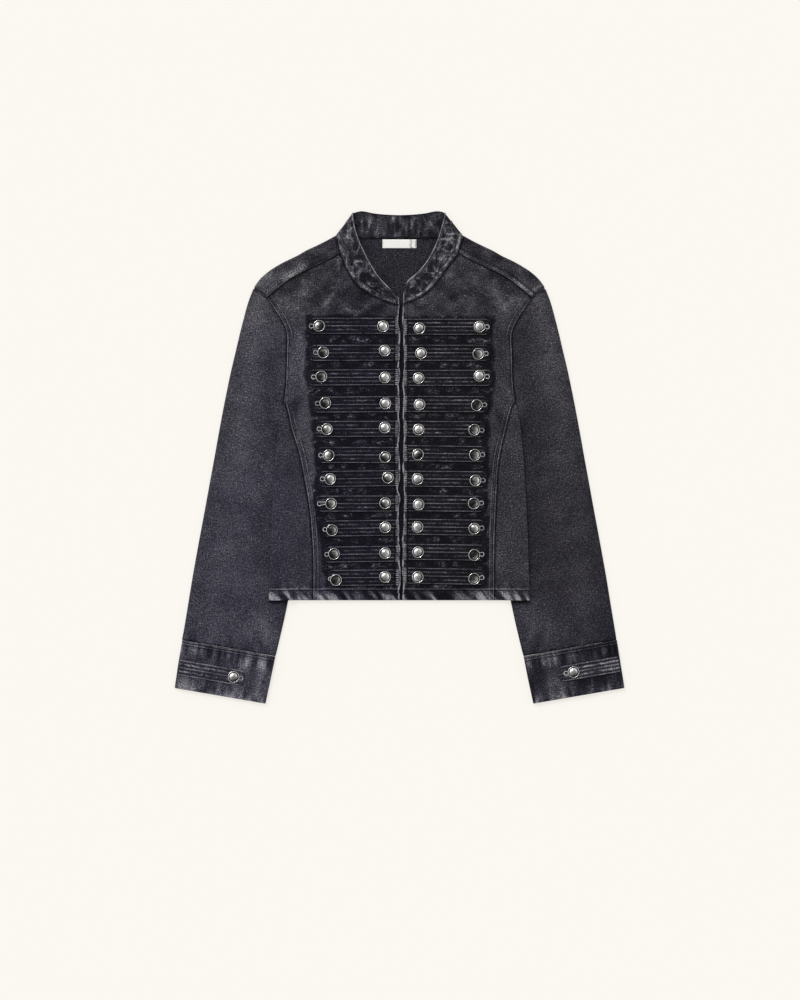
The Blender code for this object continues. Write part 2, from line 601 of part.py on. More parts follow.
def strap_mesh(place, reach, half):
    """A padded strap with a rounded outer end: tucks stand up between stitched channels, over a flat
    underside. place(along, across) gives the plan point at these distances from its inner end."""
    columns = [(0.0, 1.0)]
    for angle in np.radians(ROUND_ANGLES):
        columns.append((reach - ROUND_END * (1 - math.sin(angle)), 0.45 + 0.55 * math.cos(angle)))
    across = np.linspace(-1.0, 1.0, 2 * TUCKS + 1)
    heights = STRAP_THICK + TUCK_RISE * (np.arange(2 * TUCKS + 1) % 2)
    mesh = bmesh.new()
    tops = [
        [mesh.verts.new((*(place(distance, share * half * width)[:2]), place(0, 0)[2] + height))
         for share, height in zip(across, heights)]
        for distance, width in columns
    ]
    last = len(columns) - 1
    for i in range(last):
        for j in range(2 * TUCKS):
            mesh.faces.new((tops[i][j], tops[i][j + 1], tops[i + 1][j + 1], tops[i + 1][j]))
    cells = [(0, j) for j in range(2 * TUCKS)]
    cells += [(i, 2 * TUCKS) for i in range(last)]
    cells += [(last, j) for j in range(2 * TUCKS, 0, -1)]
    cells += [(i, 0) for i in range(last, 0, -1)]
    base = place(0, 0)[2]
    lows = [mesh.verts.new((*tops[i][j].co[:2], base)) for i, j in cells]
    for index, (i, j) in enumerate(cells):
        after = (index + 1) % len(cells)
        k, m = cells[after]
        mesh.faces.new((tops[i][j], tops[k][m], lows[after], lows[index]))
    mesh.faces.new(lows)
    bmesh.ops.scale(mesh, vec=(MM, MM, MM), verts=mesh.verts)
    bmesh.ops.recalc_face_normals(mesh, faces=mesh.faces)
    return mesh


def stud_mesh(centre, base):
    """A domed stud, turned from its profile."""
    mesh = bmesh.new()
    rings = []
    for radius, height in STUD_PROFILE:
        ring = []
        for step in range(STUD_SIDES):
            turn = 2 * math.pi * step / STUD_SIDES
            place = (centre[0] + radius * math.cos(turn), centre[1] + radius * math.sin(turn), base + height)
            ring.append(mesh.verts.new(np.array(place) * MM))
        rings.append(ring)
    for lower, upper in zip(rings, rings[1:]):
        for step in range(STUD_SIDES):
            after = (step + 1) % STUD_SIDES
            mesh.faces.new((lower[step], lower[after], upper[after], upper[step]))
    mesh.faces.new(rings[0][::-1])
    mesh.faces.new(rings[-1])
    return mesh


def straps(side, cloth, metal):
    """The buttoned straps of one front. Each carries its inner stud, and its outer stud stands on it."""
    sign = SIDES[side]
    start = CENTRE_EDGE[side] + PLACKET_WIDTH + 0.5 + CLEAR
    base = FLAT + CLEAR
    top = base + STRAP_THICK + TUCK_RISE
    for row, values in enumerate(STRAPS[side], start=1):
        up, drop, outer_end, outer_out, outer_up, inner_out, inner_up = values
        reach = outer_end - start

        def place(distance, across, up=up, slope=drop / reach):
            return (sign * (start + distance), up - slope * distance + across, base)

        strap = add_object(f"strap_{side}_{row:02d}", strap_mesh(place, reach, STRAP_HALF), cloth)
        rivet_mesh = stud_mesh((sign * inner_out, inner_up), top - STUD_SUNK)
        rivet = add_object(f"rivet_{side}_{row:02d}", rivet_mesh, metal)
        rivet.hide_render = True
        rivet.display_type = "WIRE"
        union = strap.modifiers.new("riveted_stud", "BOOLEAN")
        union.operation = "UNION"
        union.object = rivet
        add_object(f"stud_{side}_{row:02d}", stud_mesh((sign * outer_out, outer_up), top + CLEAR), metal)


def cuff_tab(side, cloth, metal):
    """The tab that buttons across a cuff, and its stud."""
    mirror = np.array([SIDES[side], 1.0])
    tip_across, down, stud_from_tip = TABS[side]
    start, tip = cuff_place(TAB_START, down), cuff_place(tip_across, down)
    reach = np.linalg.norm(tip - start)
    ahead = (tip - start) / reach
    beside = np.array([ahead[1], -ahead[0]])
    base = CUFF_HEIGHT + CLEAR

    def place(distance, across):
        return (*((start + ahead * distance + beside * across) * mirror), base)

    add_object(f"tab_{side}", strap_mesh(place, reach, TAB_HALF), cloth)
    stud_place = place(reach - stud_from_tip, 0.0)
    stud_base = base + STRAP_THICK + TUCK_RISE + CLEAR
    add_object(f"tab_stud_{side}", stud_mesh(stud_place[:2], stud_base), metal)


def label(material):
    """The bare neck label, on the inside of the back below the collar."""
    base = DENIM + CLEAR
    outs = (-LABEL_HALF_WIDTH, LABEL_HALF_WIDTH)
    rows = [[[(out, up, height) for height in (base + LABEL_THICK, base)] for out in outs] for up in LABEL_UP]
    wall("label", np.array(rows), material)


def build():
    clear_scene()
    denim, strap_denim = finish(DENIM_FINISH), finish(STRAP_FINISH)
    metal, cotton = finish(STUD_FINISH), finish(LABEL_FINISH)
    back(denim)
    collar(denim)
    label(cotton)
    for side in SIDES:
        front(side, denim)
        side_front(side, denim)
        sleeve(side, denim)
        cuff(side, denim)
        straps(side, strap_denim, metal)
        cuff_tab(side, strap_denim, metal)


build()
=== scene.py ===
"""Finished denim jacket: the cloth, stitching, studs and label of each solid, with the photo's view.

Plans are in millimetres, as (out, up): out from the centre line, and up from a line across the jacket
207 mm over its hem. The wearer's left is at +X. Points become metres when a mesh is made. Cloth is held as
a grid of pairs of points: one on its outer face, and the one behind it on its inner face. A detail of the
cloth is a rise, in millimetres, and a fade: over 0 the denim is paler, and under 0 it is darker. Besides
wear and washing, the fade holds painted shade: in creases, in the troughs of seams and beside them, on the
sleeves under the body's hem, and on the inside of the back.
"""

import math

import bpy
import numpy as np
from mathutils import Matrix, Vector
from mathutils.bvhtree import BVHTree


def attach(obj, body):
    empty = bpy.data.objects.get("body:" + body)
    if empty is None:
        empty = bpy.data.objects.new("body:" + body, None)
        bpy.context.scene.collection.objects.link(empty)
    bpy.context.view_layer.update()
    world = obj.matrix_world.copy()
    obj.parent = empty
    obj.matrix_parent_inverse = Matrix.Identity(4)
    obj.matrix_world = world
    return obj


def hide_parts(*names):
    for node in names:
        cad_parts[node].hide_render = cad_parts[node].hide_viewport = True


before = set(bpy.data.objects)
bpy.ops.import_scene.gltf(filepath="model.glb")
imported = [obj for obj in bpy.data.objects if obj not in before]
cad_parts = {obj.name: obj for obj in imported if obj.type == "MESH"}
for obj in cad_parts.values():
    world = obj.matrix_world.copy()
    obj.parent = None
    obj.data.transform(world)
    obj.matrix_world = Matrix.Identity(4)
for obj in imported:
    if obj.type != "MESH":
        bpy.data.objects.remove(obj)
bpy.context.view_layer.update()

MM = 0.001
BODY = "root"

# Sizes of the solids, in millimetres.
DENIM, DOUBLED, SEAM, CLEAR, NECK_GAP = 1.2, 2.2, 0.4, 0.3, 0.08
FLAT = 3.6
FOLD = FLAT / 2
SLEEVE_CROWN = 1.1
OVER_SLEEVE, RAMP, LIFT_UP, LIFT_LENGTH = 5.2, 15.0, 87.0, 34.0
CUFF_HEIGHT, CUFF_DEPTH = 6.0, 72.0
HEM_RISE = 0.9
HEM_UP, HEM_STITCH_UP, UNDERARM_UP, YOKE_UP = -207.0, -191.0, 79.0, 206.0
PLACKET_WIDTH, PLACKET_STEP = 6.0, 0.5

SHOULDER_FOLD = (
    (92.0, 321.5), (115.5, 309.0), (132.0, 301.5), (151.5, 290.5), (165.5, 284.0),
    (178.0, 277.0), (196.0, 264.5), (206.5, 253.0), (211.5, 244.5),
)
SHOULDER_SEAM = (
    (85.0, 295.5), (106.0, 284.0), (130.5, 272.5), (155.0, 259.5), (171.0, 248.0),
    (182.5, 239.0), (192.0, 230.5),
)
ARMHOLE_FRONT = (
    (192.0, 230.5), (181.0, 213.5), (172.5, 200.5), (165.5, 186.0), (163.0, 173.0),
    (163.5, 157.0), (164.0, 138.5), (164.5, 119.5), (165.5, 100.5), (168.4, 79.0),
)
ARMHOLE_BACK = (
    (211.5, 244.5), (205.0, 230.5), (193.5, 206.0), (187.0, 175.5), (182.0, 145.0), (176.0, 114.5),
    (168.8, 84.0), (168.4, 79.0),
)
SIDE_FOLD = (
    (168.9, 79.0), (169.3, 76.5), (170.2, 72.5), (171.5, 66.0), (173.6, 58.0), (176.2, 39.5), (179.6, 3.5),
    (182.4, -40.0), (186.5, -120.0), (189.0, -207.0),
)
BACK_NECK = ((0.0, 317.5), (30.0, 317.5), (58.0, 318.0), (76.0, 319.5), (92.0, 321.5))
COLLAR_SEAM_OVER_SHOULDER = ((85.0, 295.5), (88.5, 308.0), (92.0, 321.5))
SLEEVE_OUTER = (
    (211.5, 244.5), (222.0, 214.5), (241.5, 135.5), (256.5, 63.0), (266.0, 10.5),
    (280.5, -69.0), (298.0, -164.0), (312.5, -253.0), (314.5, -264.0),
)
SLEEVE_INNER = (
    (168.4, 79.0), (168.8, 76.0), (169.2, 71.5), (169.2, 69.0), (168.4, 65.5), (167.6, 61.0), (166.8, 50.0),
    (165.4, 38.0), (161.0, 13.5), (152.0, -6.5), (145.5, -33.0), (143.0, -62.0), (144.5, -105.5),
    (149.5, -149.0), (161.0, -207.0), (169.5, -247.5), (179.2, -288.2),
)
CUFF_CORNERS = ((314.9, -264.5), (179.6, -288.7), (325.9, -334.0), (193.8, -356.7))
CENTRE_EDGE = {"right": 0.5, "left": 5.6}
PRINCESS = {
    "right": (
        (165.0, 77.5), (160.5, 59.0), (156.5, 40.5), (150.5, 21.0), (144.0, -1.0), (136.5, -40.5),
        (131.0, -73.0), (127.5, -110.5), (125.5, -148.0), (125.5, -207.0),
    ),
    "left": (
        (165.0, 77.5), (159.5, 61.0), (154.5, 40.5), (149.5, 19.0), (145.0, -2.5), (142.5, -27.5),
        (140.5, -67.5), (138.5, -121.0), (138.0, -207.0),
    ),
}
COLLAR_SEAM = {
    "right": (
        (0.5, 221.5), (11.0, 223.0), (34.0, 232.5), (52.0, 243.5), (66.5, 256.5), (77.0, 275.0),
        (85.0, 295.5),
    ),
    "left": (
        (5.6, 223.5), (12.0, 225.0), (21.5, 228.0), (39.5, 238.5), (54.0, 254.0), (71.0, 277.5),
        (85.0, 295.5),
    ),
}
COLLAR_EDGE = {
    "right": (
        (0.5, 230.0), (4.0, 236.0), (9.0, 241.5), (18.5, 249.0), (33.0, 266.0), (46.0, 288.0),
        (57.5, 312.5), (64.0, 330.5), (67.5, 354.0),
    ),
    "left": (
        (5.6, 236.0), (6.4, 246.5), (9.0, 252.0), (15.0, 258.0), (30.5, 272.5), (45.0, 293.0),
        (56.0, 317.5), (61.5, 335.5), (66.0, 354.0),
    ),
}
COLLAR_TOP = ((0.0, 351.0), (23.0, 352.0), (43.5, 354.5), (56.0, 356.7), (66.5, 354.0))

# Straps from the top row down: (height of the inner end's middle, drop of the outer end below it, outer
# end's out, outer stud's out and up, inner stud's out and up).
STRAP_HALF = 12.2
STRAPS = {
    "right": (
        (190.5, 0.0, 132.5, 116.3, 190.2, 23.8, 189.7), (151.6, 0.4, 131.1, 110.2, 151.7, 21.3, 154.6),
        (116.2, 0.7, 132.5, 113.0, 116.9, 21.0, 115.7), (77.0, 0.7, 125.9, 107.3, 78.6, 20.3, 78.0),
        (41.6, 0.7, 123.8, 105.0, 40.7, 21.3, 43.1), (3.5, 0.0, 119.2, 102.5, 2.8, 20.7, 0.4),
        (-30.0, 1.5, 118.0, 100.3, -31.3, 16.7, -29.4), (-66.8, 0.2, 122.4, 99.0, -67.0, 20.7, -66.4),
        (-101.8, 1.5, 112.2, 97.7, -105.5, 20.4, -101.1), (-139.4, 1.5, 109.8, 94.8, -139.9, 20.7, -138.6),
        (-173.7, 1.0, 104.5, 91.8, -177.6, 20.7, -173.0),
    ),
    "left": (
        (189.1, 0.0, 132.8, 115.9, 189.1, 28.9, 186.8), (151.4, 0.0, 132.4, 114.3, 149.8, 31.2, 150.8),
        (115.1, 0.0, 135.0, 115.9, 118.1, 27.8, 114.8), (77.4, 0.4, 129.0, 112.1, 75.4, 29.1, 76.4),
        (41.4, 0.7, 124.6, 108.2, 39.7, 27.8, 40.3), (6.2, 1.5, 126.0, 109.2, 3.5, 26.8, 4.1),
        (-30.8, 1.0, 126.9, 109.9, -33.5, 26.2, -31.3), (-66.4, 1.0, 124.7, 107.6, -66.7, 27.7, -68.3),
        (-100.4, 1.5, 124.7, 108.2, -103.2, 26.2, -100.8), (-136.6, 1.5, 126.0, 108.2, -141.2, 26.8, -137.3),
        (-171.2, 2.0, 125.3, 108.2, -175.8, 26.5, -173.4),
    ),
}
STRAP_THICK, TUCK_RISE, ROUND_END = 1.3, 0.8, 9.0
STUD_SUNK = 0.6
# Buttonholes: on an end over LONG_END beyond the stud, the eye is TIP_TO_EYE from its tip. On a shorter
# one it is HOLE_FROM_STUD from the stud, but at least SHORT_TIP_TO_EYE from the tip.
HOLE_FROM_STUD, LONG_END, TIP_TO_EYE, SHORT_TIP_TO_EYE = 11.5, 22.0, 6.4, 4.5
EYE, LEGS_APART = (2.7, 2.9), 1.5  # half length and half width of the eye, half the space of the legs
TAB_START, TAB_HALF = 0.02, 11.5
TABS = {"right": (0.729, 0.56, 16.3), "left": (0.68, 0.49, 22.8)}  # tip across, down, stud from the tip
LABEL_HALF_WIDTH, LABEL_UP, LABEL_THICK = 24.5, (303.3, 315.8), 1.0
# Folds in a sleeve's upper ply: (out, up, half length, half width, degrees that it leans out going down,
# height).
SLEEVE_FOLDS = (
    (190.0, 205.0, 26.0, 9.0, -40.0, 1.1), (192.0, 118.0, 55.0, 8.0, -12.0, 0.9),
    (226.0, 60.0, 60.0, 11.0, 14.0, 0.7), (208.0, -70.0, 60.0, 10.0, 10.0, 0.8),
    (262.0, -120.0, 55.0, 10.0, 12.0, 0.8), (205.0, -262.0, 20.0, 9.0, 12.0, 0.9),
    (285.0, -225.0, 25.0, 9.0, 10.0, 0.8),
)
BODY_UPS = np.sort([
    HEM_UP, HEM_STITCH_UP - 0.5, HEM_STITCH_UP, UNDERARM_UP - 10.0, *np.linspace(-160.0, YOKE_UP, 13)
])
ARMHOLE_STRIP = 2.0
YOKE_SHARES = np.linspace(0.0, 1.0, 6)
YOKE_TILT = 3.0
SHOULDER_AHEAD = np.array([0.53, 0.85])  # square to the shoulder's fold, outwards
# Where a row of points crosses a sleeve, as shares of the lengths of its outer and inner edges.
SLEEVE_ROWS = (
    (0.0, 0.0), (0.04, 0.01), (0.09, 0.025), (0.15, 0.045), (0.22, 0.07), (0.29, 0.10), (0.36, 0.14),
    (0.42, 0.19), (0.48, 0.26), (0.55, 0.35), (0.63, 0.46), (0.72, 0.58), (0.82, 0.71), (0.91, 0.85),
    (1.0, 1.0),
)
ARMHOLE_FADE, EVEN_BY = 0.42, 0.09
LIP_ANGLES, HALF_LIP = (45.0, 0.0, -45.0), (90.0, 48.0, 6.4)  # degrees round a fold, and round half of one
LOFT_AT_SEAM, LOFT_AT_EDGE = 5.2, 8.2
COLLAR_EDGE_SHARE = 0.74
COLLAR_OVER_SHARES = (0.5, 0.93)
COLLAR_BACK_SHARES = (0.96, 0.82, 0.55, 0.27)
COLLAR_RISE_SHARES = (0.0, 0.35, 0.7, 1.0)
COLLAR_FOLD_DEPTH = 0.6
SIDES = {"right": -1.0, "left": 1.0}  # the sign of x on each of the wearer's sides

# Soft patches where the cloth is paler or darker: most come from washing, but the dark ones under the
# wearer's right armpit and by the collar's seam on that side are painted shade. (x, up, half width, half
# height, fade).
WASH_AND_SHADE = (
    (-128.0, 222.0, 26.0, 18.0, 0.18), (-40.0, 237.0, 28.0, 20.0, -0.22), (195.0, 225.0, 22.0, 26.0, 0.20),
    (222.0, 150.0, 20.0, 42.0, 0.16), (165.0, 75.0, 26.0, 15.0, 0.14), (-154.0, 76.0, 8.0, 12.0, -0.45),
    (-205.0, 125.0, 40.0, 60.0, -0.11), (128.0, -130.0, 16.0, 28.0, 0.14), (-128.0, -95.0, 16.0, 45.0, 0.14),
    (-190.0, -257.0, 22.0, 22.0, 0.26), (195.0, -245.0, 32.0, 36.0, 0.28),
    (-292.0, -300.0, 26.0, 40.0, -0.25),
    (290.0, -305.0, 40.0, 45.0, -0.47), (222.0, -310.0, 18.0, 40.0, 0.30), (-222.0, -325.0, 18.0, 20.0, 0.22),
    (-165.0, 212.0, 36.0, 30.0, 0.22), (150.0, 222.0, 34.0, 18.0, 0.14), (86.0, 262.0, 16.0, 18.0, 0.08),
    (-20.0, -60.0, 14.0, 90.0, -0.10), (30.0, -60.0, 14.0, 90.0, -0.12), (-46.0, 258.0, 19.0, 16.0, -0.26),
    (-80.0, 320.0, 14.0, 18.0, 0.30), (92.0, 318.0, 15.0, 20.0, 0.24), (120.0, 262.0, 15.0, 12.0, -0.18),
    (144.0, -62.0, 10.0, 48.0, -0.11), (-302.0, -178.0, 12.0, 30.0, 0.10), (178.0, -225.0, 14.0, 36.0, 0.14),
    (-206.0, -238.0, 14.0, 20.0, 0.10),
)

# Creases in the cloth: (out, up, half length, half width, degrees that it leans out from straight up, bow,
# rise, fade). Bow is how far its middle stands out sideways. A negative rise is a trough, and a fade over
# 0 is paler than the cloth around it; a fade under 0 is painted shade in the crease.
FRONT_CREASES = {
    "right": (
        (98.5, 231.0, 17.0, 2.6, -34.0, 1.5, 0.5, 0.42), (87.6, 277.0, 9.0, 2.2, 0.0, 0.5, 0.4, 0.36),
        (88.0, 226.0, 20.0, 6.0, -34.0, 2.0, -0.5, -0.24), (58.0, 228.0, 22.0, 9.0, -58.0, 3.0, -0.6, -0.34),
        (70.0, 214.0, 14.0, 2.4, 78.0, 2.0, 0.4, 0.34), (30.0, 214.0, 16.0, 7.0, -78.0, 2.0, -0.4, -0.30),
        (48.0, 218.0, 9.0, 1.8, -46.0, 1.0, 0.4, 0.30), (112.0, 262.0, 16.0, 5.0, 20.0, 2.0, -0.3, -0.16),
        (139.0, 150.0, 44.0, 6.0, 4.0, 3.0, 0.4, 0.26), (136.0, 214.0, 20.0, 5.0, -18.0, 2.0, 0.3, 0.14),
        (97.0, 240.0, 26.0, 5.0, -28.0, 3.0, 0.5, 0.10), (118.0, 228.0, 30.0, 7.0, -50.0, 4.0, -0.4, -0.10),
        (62.0, 222.0, 22.0, 5.0, 72.0, 3.0, 0.5, 0.10), (40.0, 212.0, 20.0, 4.0, 84.0, 2.0, -0.4, -0.14),
        (148.0, 196.0, 26.0, 5.0, 8.0, 3.0, 0.5, 0.08), (153.0, 150.0, 30.0, 5.0, -4.0, -3.0, 0.5, 0.10),
        (146.0, 72.0, 18.0, 6.0, -24.0, 2.0, -0.6, -0.26), (155.0, 84.0, 14.0, 4.0, -34.0, 2.0, 0.4, 0.08),
        (140.0, 36.0, 22.0, 5.0, -20.0, 3.0, 0.4, 0.08), (126.0, -30.0, 34.0, 5.0, -10.0, 3.0, 0.3, 0.10),
    ),
    "left": (
        (70.0, 232.0, 20.0, 7.0, 64.0, 3.0, -0.4, -0.20), (100.0, 222.0, 24.0, 5.0, 12.0, 2.0, 0.3, 0.14),
        (32.0, 212.0, 18.0, 6.0, 82.0, 2.0, 0.3, 0.16), (126.0, 208.0, 22.0, 6.0, -8.0, 2.0, -0.3, -0.16),
        (150.0, 216.0, 18.0, 5.0, -34.0, 2.0, 0.4, 0.22), (80.0, 246.0, 24.0, 5.0, 58.0, 3.0, 0.4, 0.08),
        (118.0, 236.0, 34.0, 8.0, -38.0, 4.0, 0.3, 0.06),
        (148.0, 200.0, 28.0, 5.0, 4.0, 3.0, 0.5, 0.08), (146.0, 48.0, 20.0, 6.0, -14.0, 2.0, -0.6, -0.30),
        (155.0, 92.0, 16.0, 4.0, -30.0, 2.0, 0.4, 0.10), (150.0, 118.0, 20.0, 5.0, -10.0, 2.0, 0.4, 0.06),
        (131.0, -60.0, 40.0, 4.0, -2.0, 2.0, 0.3, 0.12), (130.0, -150.0, 34.0, 4.0, 0.0, 2.0, 0.3, 0.10),
    ),
}
SIDE_CREASES = {
    "right": (
        (164.0, -20.0, 40.0, 6.0, 8.0, 2.0, 0.3, 0.04), (156.0, -110.0, 46.0, 8.0, 4.0, 3.0, 0.3, 0.04),
        (148.0, -180.0, 16.0, 5.0, 6.0, 1.0, 0.3, 0.08), (172.0, -165.0, 26.0, 5.0, -4.0, 2.0, -0.3, -0.05),
    ),
    "left": (
        (166.0, 10.0, 34.0, 5.0, 6.0, 2.0, 0.3, 0.05), (160.0, -90.0, 46.0, 8.0, -4.0, 3.0, 0.3, 0.04),
        (156.0, -176.0, 18.0, 5.0, -6.0, 1.0, 0.3, 0.08), (176.0, -150.0, 30.0, 5.0, 4.0, 2.0, -0.3, -0.05),
    ),
}
BACK_CREASES = (
    (0.0, 60.0, 110.0, 9.0, 3.0, 6.0, -0.5, -0.05), (58.0, 190.0, 60.0, 8.0, -22.0, 6.0, 0.5, 0.05),
    (110.0, 120.0, 70.0, 9.0, -14.0, 8.0, -0.5, -0.05), (70.0, -60.0, 80.0, 9.0, 6.0, 8.0, 0.5, 0.05),
    (130.0, -110.0, 60.0, 8.0, -8.0, 6.0, 0.4, 0.04), (145.0, 40.0, 40.0, 7.0, -26.0, 5.0, 0.5, 0.05),
    (24.0, -140.0, 44.0, 7.0, -5.0, 4.0, 0.4, 0.04),
)
SHOULDER_CREASES = (
    (-150.0, 270.0, 26.0, 5.0, 58.0, 2.0, 0.3, 0.30), (-122.0, 292.0, 22.0, 5.0, 62.0, 2.0, 0.3, 0.16),
    (-176.0, 262.0, 18.0, 4.0, 52.0, 2.0, 0.2, 0.12), (136.0, 284.0, 26.0, 4.0, -62.0, 2.0, 0.3, -0.10),
    (166.0, 264.0, 20.0, 4.0, -56.0, 2.0, 0.2, -0.08), (110.0, 300.0, 16.0, 4.0, -62.0, 2.0, 0.2, 0.14),
)
SLEEVE_CREASES = (
    (206.0, 150.0, 40.0, 6.0, -8.0, 4.0, 0.4, 0.06), (184.0, 60.0, 34.0, 5.0, 16.0, 3.0, -0.5, -0.12),
    (228.0, 20.0, 60.0, 8.0, 12.0, 4.0, 0.4, 0.06), (200.0, -8.0, 44.0, 6.0, 9.0, 3.0, -0.4, -0.08),
    (250.0, -60.0, 60.0, 7.0, 12.0, 3.0, -0.4, -0.06), (212.0, -150.0, 50.0, 6.0, 8.0, 3.0, 0.4, 0.08),
    (268.0, -190.0, 44.0, 7.0, 12.0, 3.0, 0.3, 0.05), (190.0, -255.0, 22.0, 4.0, 14.0, 2.0, 0.5, 0.14),
    (214.0, -262.0, 16.0, 3.5, 4.0, 1.0, 0.5, 0.16), (200.0, -268.0, 14.0, 3.0, 18.0, 1.0, -0.5, -0.20),
    (240.0, -255.0, 14.0, 3.0, 10.0, 1.0, 0.4, 0.10), (268.0, -250.0, 12.0, 3.0, 10.0, 1.0, 0.3, 0.08),
)
SLEEVE_UNDER_CREASES = (
    (200.0, 60.0, 60.0, 8.0, 6.0, 4.0, 0.5, 0.06), (222.0, -60.0, 70.0, 9.0, 10.0, 5.0, -0.5, -0.06),
    (190.0, -120.0, 50.0, 7.0, 6.0, 3.0, 0.5, 0.06), (254.0, -160.0, 60.0, 8.0, 12.0, 4.0, 0.5, 0.05),
    (230.0, 130.0, 50.0, 7.0, 12.0, 4.0, -0.4, -0.05),
)
COLLAR_CREASES = {
    "right": (
        (21.0, 238.0, 9.0, 1.8, 68.0, 2.0, 0.7, 0.50), (33.0, 246.0, 10.0, 1.6, 82.0, -2.0, 0.7, 0.42),
        (13.0, 231.0, 8.0, 1.8, 60.0, 2.0, -0.6, -0.35), (27.0, 240.0, 7.0, 2.0, 20.0, 1.5, -0.6, -0.30),
        (44.0, 254.0, 10.0, 1.8, 40.0, 2.0, 0.7, 0.40), (50.0, 262.0, 8.0, 2.2, 20.0, 1.0, -0.5, -0.34),
        (38.0, 262.0, 7.0, 1.5, 48.0, -1.0, 0.6, 0.42), (60.0, 272.0, 12.0, 2.0, 12.0, 2.0, 0.6, 0.30),
        (67.0, 284.0, 12.0, 2.2, 24.0, 2.0, -0.6, -0.30), (56.0, 284.0, 10.0, 1.6, 30.0, -1.0, 0.5, 0.26),
        (74.0, 296.0, 13.0, 2.2, 16.0, 1.0, 0.6, 0.30), (64.0, 302.0, 12.0, 2.0, 24.0, 1.0, -0.5, -0.24),
        (76.0, 318.0, 12.0, 2.6, 40.0, 2.0, 0.6, 0.28), (72.0, 336.0, 9.0, 2.4, 30.0, 1.0, 0.5, 0.24),
        (80.0, 330.0, 8.0, 2.2, 42.0, 1.0, -0.5, -0.20),
    ),
    "left": (
        (15.0, 233.0, 8.0, 1.7, 62.0, 1.5, 0.7, 0.42), (18.0, 243.0, 7.0, 2.6, 66.0, 1.0, -0.7, -0.42),
        (27.0, 246.0, 7.0, 1.5, -30.0, 1.0, 0.7, 0.40), (30.0, 255.0, 8.0, 2.6, 40.0, 1.0, -0.8, -0.45),
        (39.0, 252.0, 7.0, 1.4, -44.0, 1.0, 0.6, 0.36), (42.0, 268.0, 9.0, 2.8, 30.0, 1.0, -0.8, -0.46),
        (48.0, 262.0, 7.0, 1.5, -30.0, 1.0, 0.7, 0.38), (56.0, 276.0, 9.0, 1.7, 18.0, 1.0, 0.6, 0.34),
        (52.0, 286.0, 8.0, 2.6, 24.0, 1.0, -0.7, -0.40), (64.0, 292.0, 10.0, 1.8, 34.0, 1.0, 0.6, 0.30),
        (61.0, 304.0, 9.0, 2.4, 20.0, 1.0, -0.6, -0.34), (72.0, 300.0, 9.0, 1.8, 26.0, 1.0, -0.4, -0.22),
        (66.0, 318.0, 9.0, 1.8, 50.0, 1.0, 0.6, 0.34), (76.0, 322.0, 9.0, 2.2, 36.0, 1.0, 0.5, 0.26),
        (70.0, 338.0, 9.0, 2.2, 24.0, 1.0, -0.5, -0.22), (76.0, 344.0, 7.0, 1.8, 34.0, 1.0, 0.5, 0.24),
    ),
}
# Creases down the inside of the back collar, by how far they are out from the centre, signed: (out, up,
# half length, half width, lean, bow, rise, fade).
COLLAR_BACK_CREASES = (
    (-54.0, 335.0, 9.0, 2.2, -6.0, 1.0, 0.5, 0.16), (-43.0, 342.0, 10.0, 2.2, 16.0, 1.0, 0.6, 0.34),
    (-34.0, 330.0, 9.0, 2.4, 20.0, 1.0, 0.5, 0.26), (-20.0, 338.0, 8.0, 2.0, -10.0, 1.0, 0.5, 0.26),
    (-10.0, 344.0, 6.0, 2.2, 4.0, 1.0, 0.5, 0.40), (1.0, 343.0, 7.0, 2.2, 8.0, 1.0, 0.5, 0.36),
    (-14.0, 330.0, 8.0, 2.2, -20.0, 1.0, -0.5, -0.24), (9.0, 330.0, 9.0, 2.4, -18.0, 1.0, 0.5, 0.16),
    (18.0, 340.0, 9.0, 2.2, 20.0, 1.0, 0.5, 0.22), (28.0, 330.0, 9.0, 2.2, 16.0, 1.0, 0.5, 0.20),
    (38.0, 340.0, 9.0, 2.2, -24.0, 1.0, 0.6, 0.30), (47.0, 334.0, 9.0, 2.2, -16.0, 1.0, 0.5, 0.22),
    (56.0, 342.0, 7.0, 2.2, 10.0, 1.0, -0.5, -0.20), (-2.0, 333.0, 8.0, 2.4, 30.0, 1.0, -0.4, -0.20),
)
# Streaks across each cuff, as shares: (across from its outer edge, down from its seam, half length down and
# half width across as shares, rise, fade).
CUFF_STREAKS = (
    (0.09, 0.16, 0.10, 0.018, 0.3, 0.20), (0.19, 0.20, 0.14, 0.020, -0.3, -0.18),
    (0.27, 0.18, 0.15, 0.016, 0.4, 0.38), (0.36, 0.19, 0.13, 0.018, 0.4, 0.30),
    (0.43, 0.20, 0.16, 0.016, 0.4, 0.36), (0.50, 0.16, 0.12, 0.016, 0.3, 0.24),
    (0.57, 0.22, 0.14, 0.018, -0.4, -0.24), (0.64, 0.18, 0.10, 0.016, 0.3, 0.18),
    (0.73, 0.20, 0.12, 0.020, -0.3, -0.14), (0.30, 0.80, 0.14, 0.016, 0.4, 0.34),
    (0.46, 0.86, 0.12, 0.020, 0.3, 0.24), (0.62, 0.84, 0.14, 0.022, 0.3, 0.22),
    (0.12, 0.86, 0.10, 0.022, 0.3, 0.24), (0.92, 0.62, 0.20, 0.018, -0.3, -0.20),
    (0.86, 0.84, 0.12, 0.020, 0.3, 0.22), (0.80, 0.40, 0.14, 0.030, -0.2, -0.12),
    (0.22, 0.90, 0.08, 0.020, -0.3, -0.16), (0.74, 0.92, 0.08, 0.024, -0.3, -0.14),
)

# Spacing of the cloth's points, in millimetres.
BODY_GRID, BACK_GRID, SLEEVE_GRID, CUFF_GRID, COLLAR_GRID, STRAP_GRID = 1.7, 5.2, 3.2, 1.6, 1.15, 2.2
SHOULDER_GRID = 0.9
FRONT_COLUMNS = (0.6, 0.5, 2.6, 2.6, 2.0, 0.9, 0.7)  # by interval, from the centre's edge to the seam

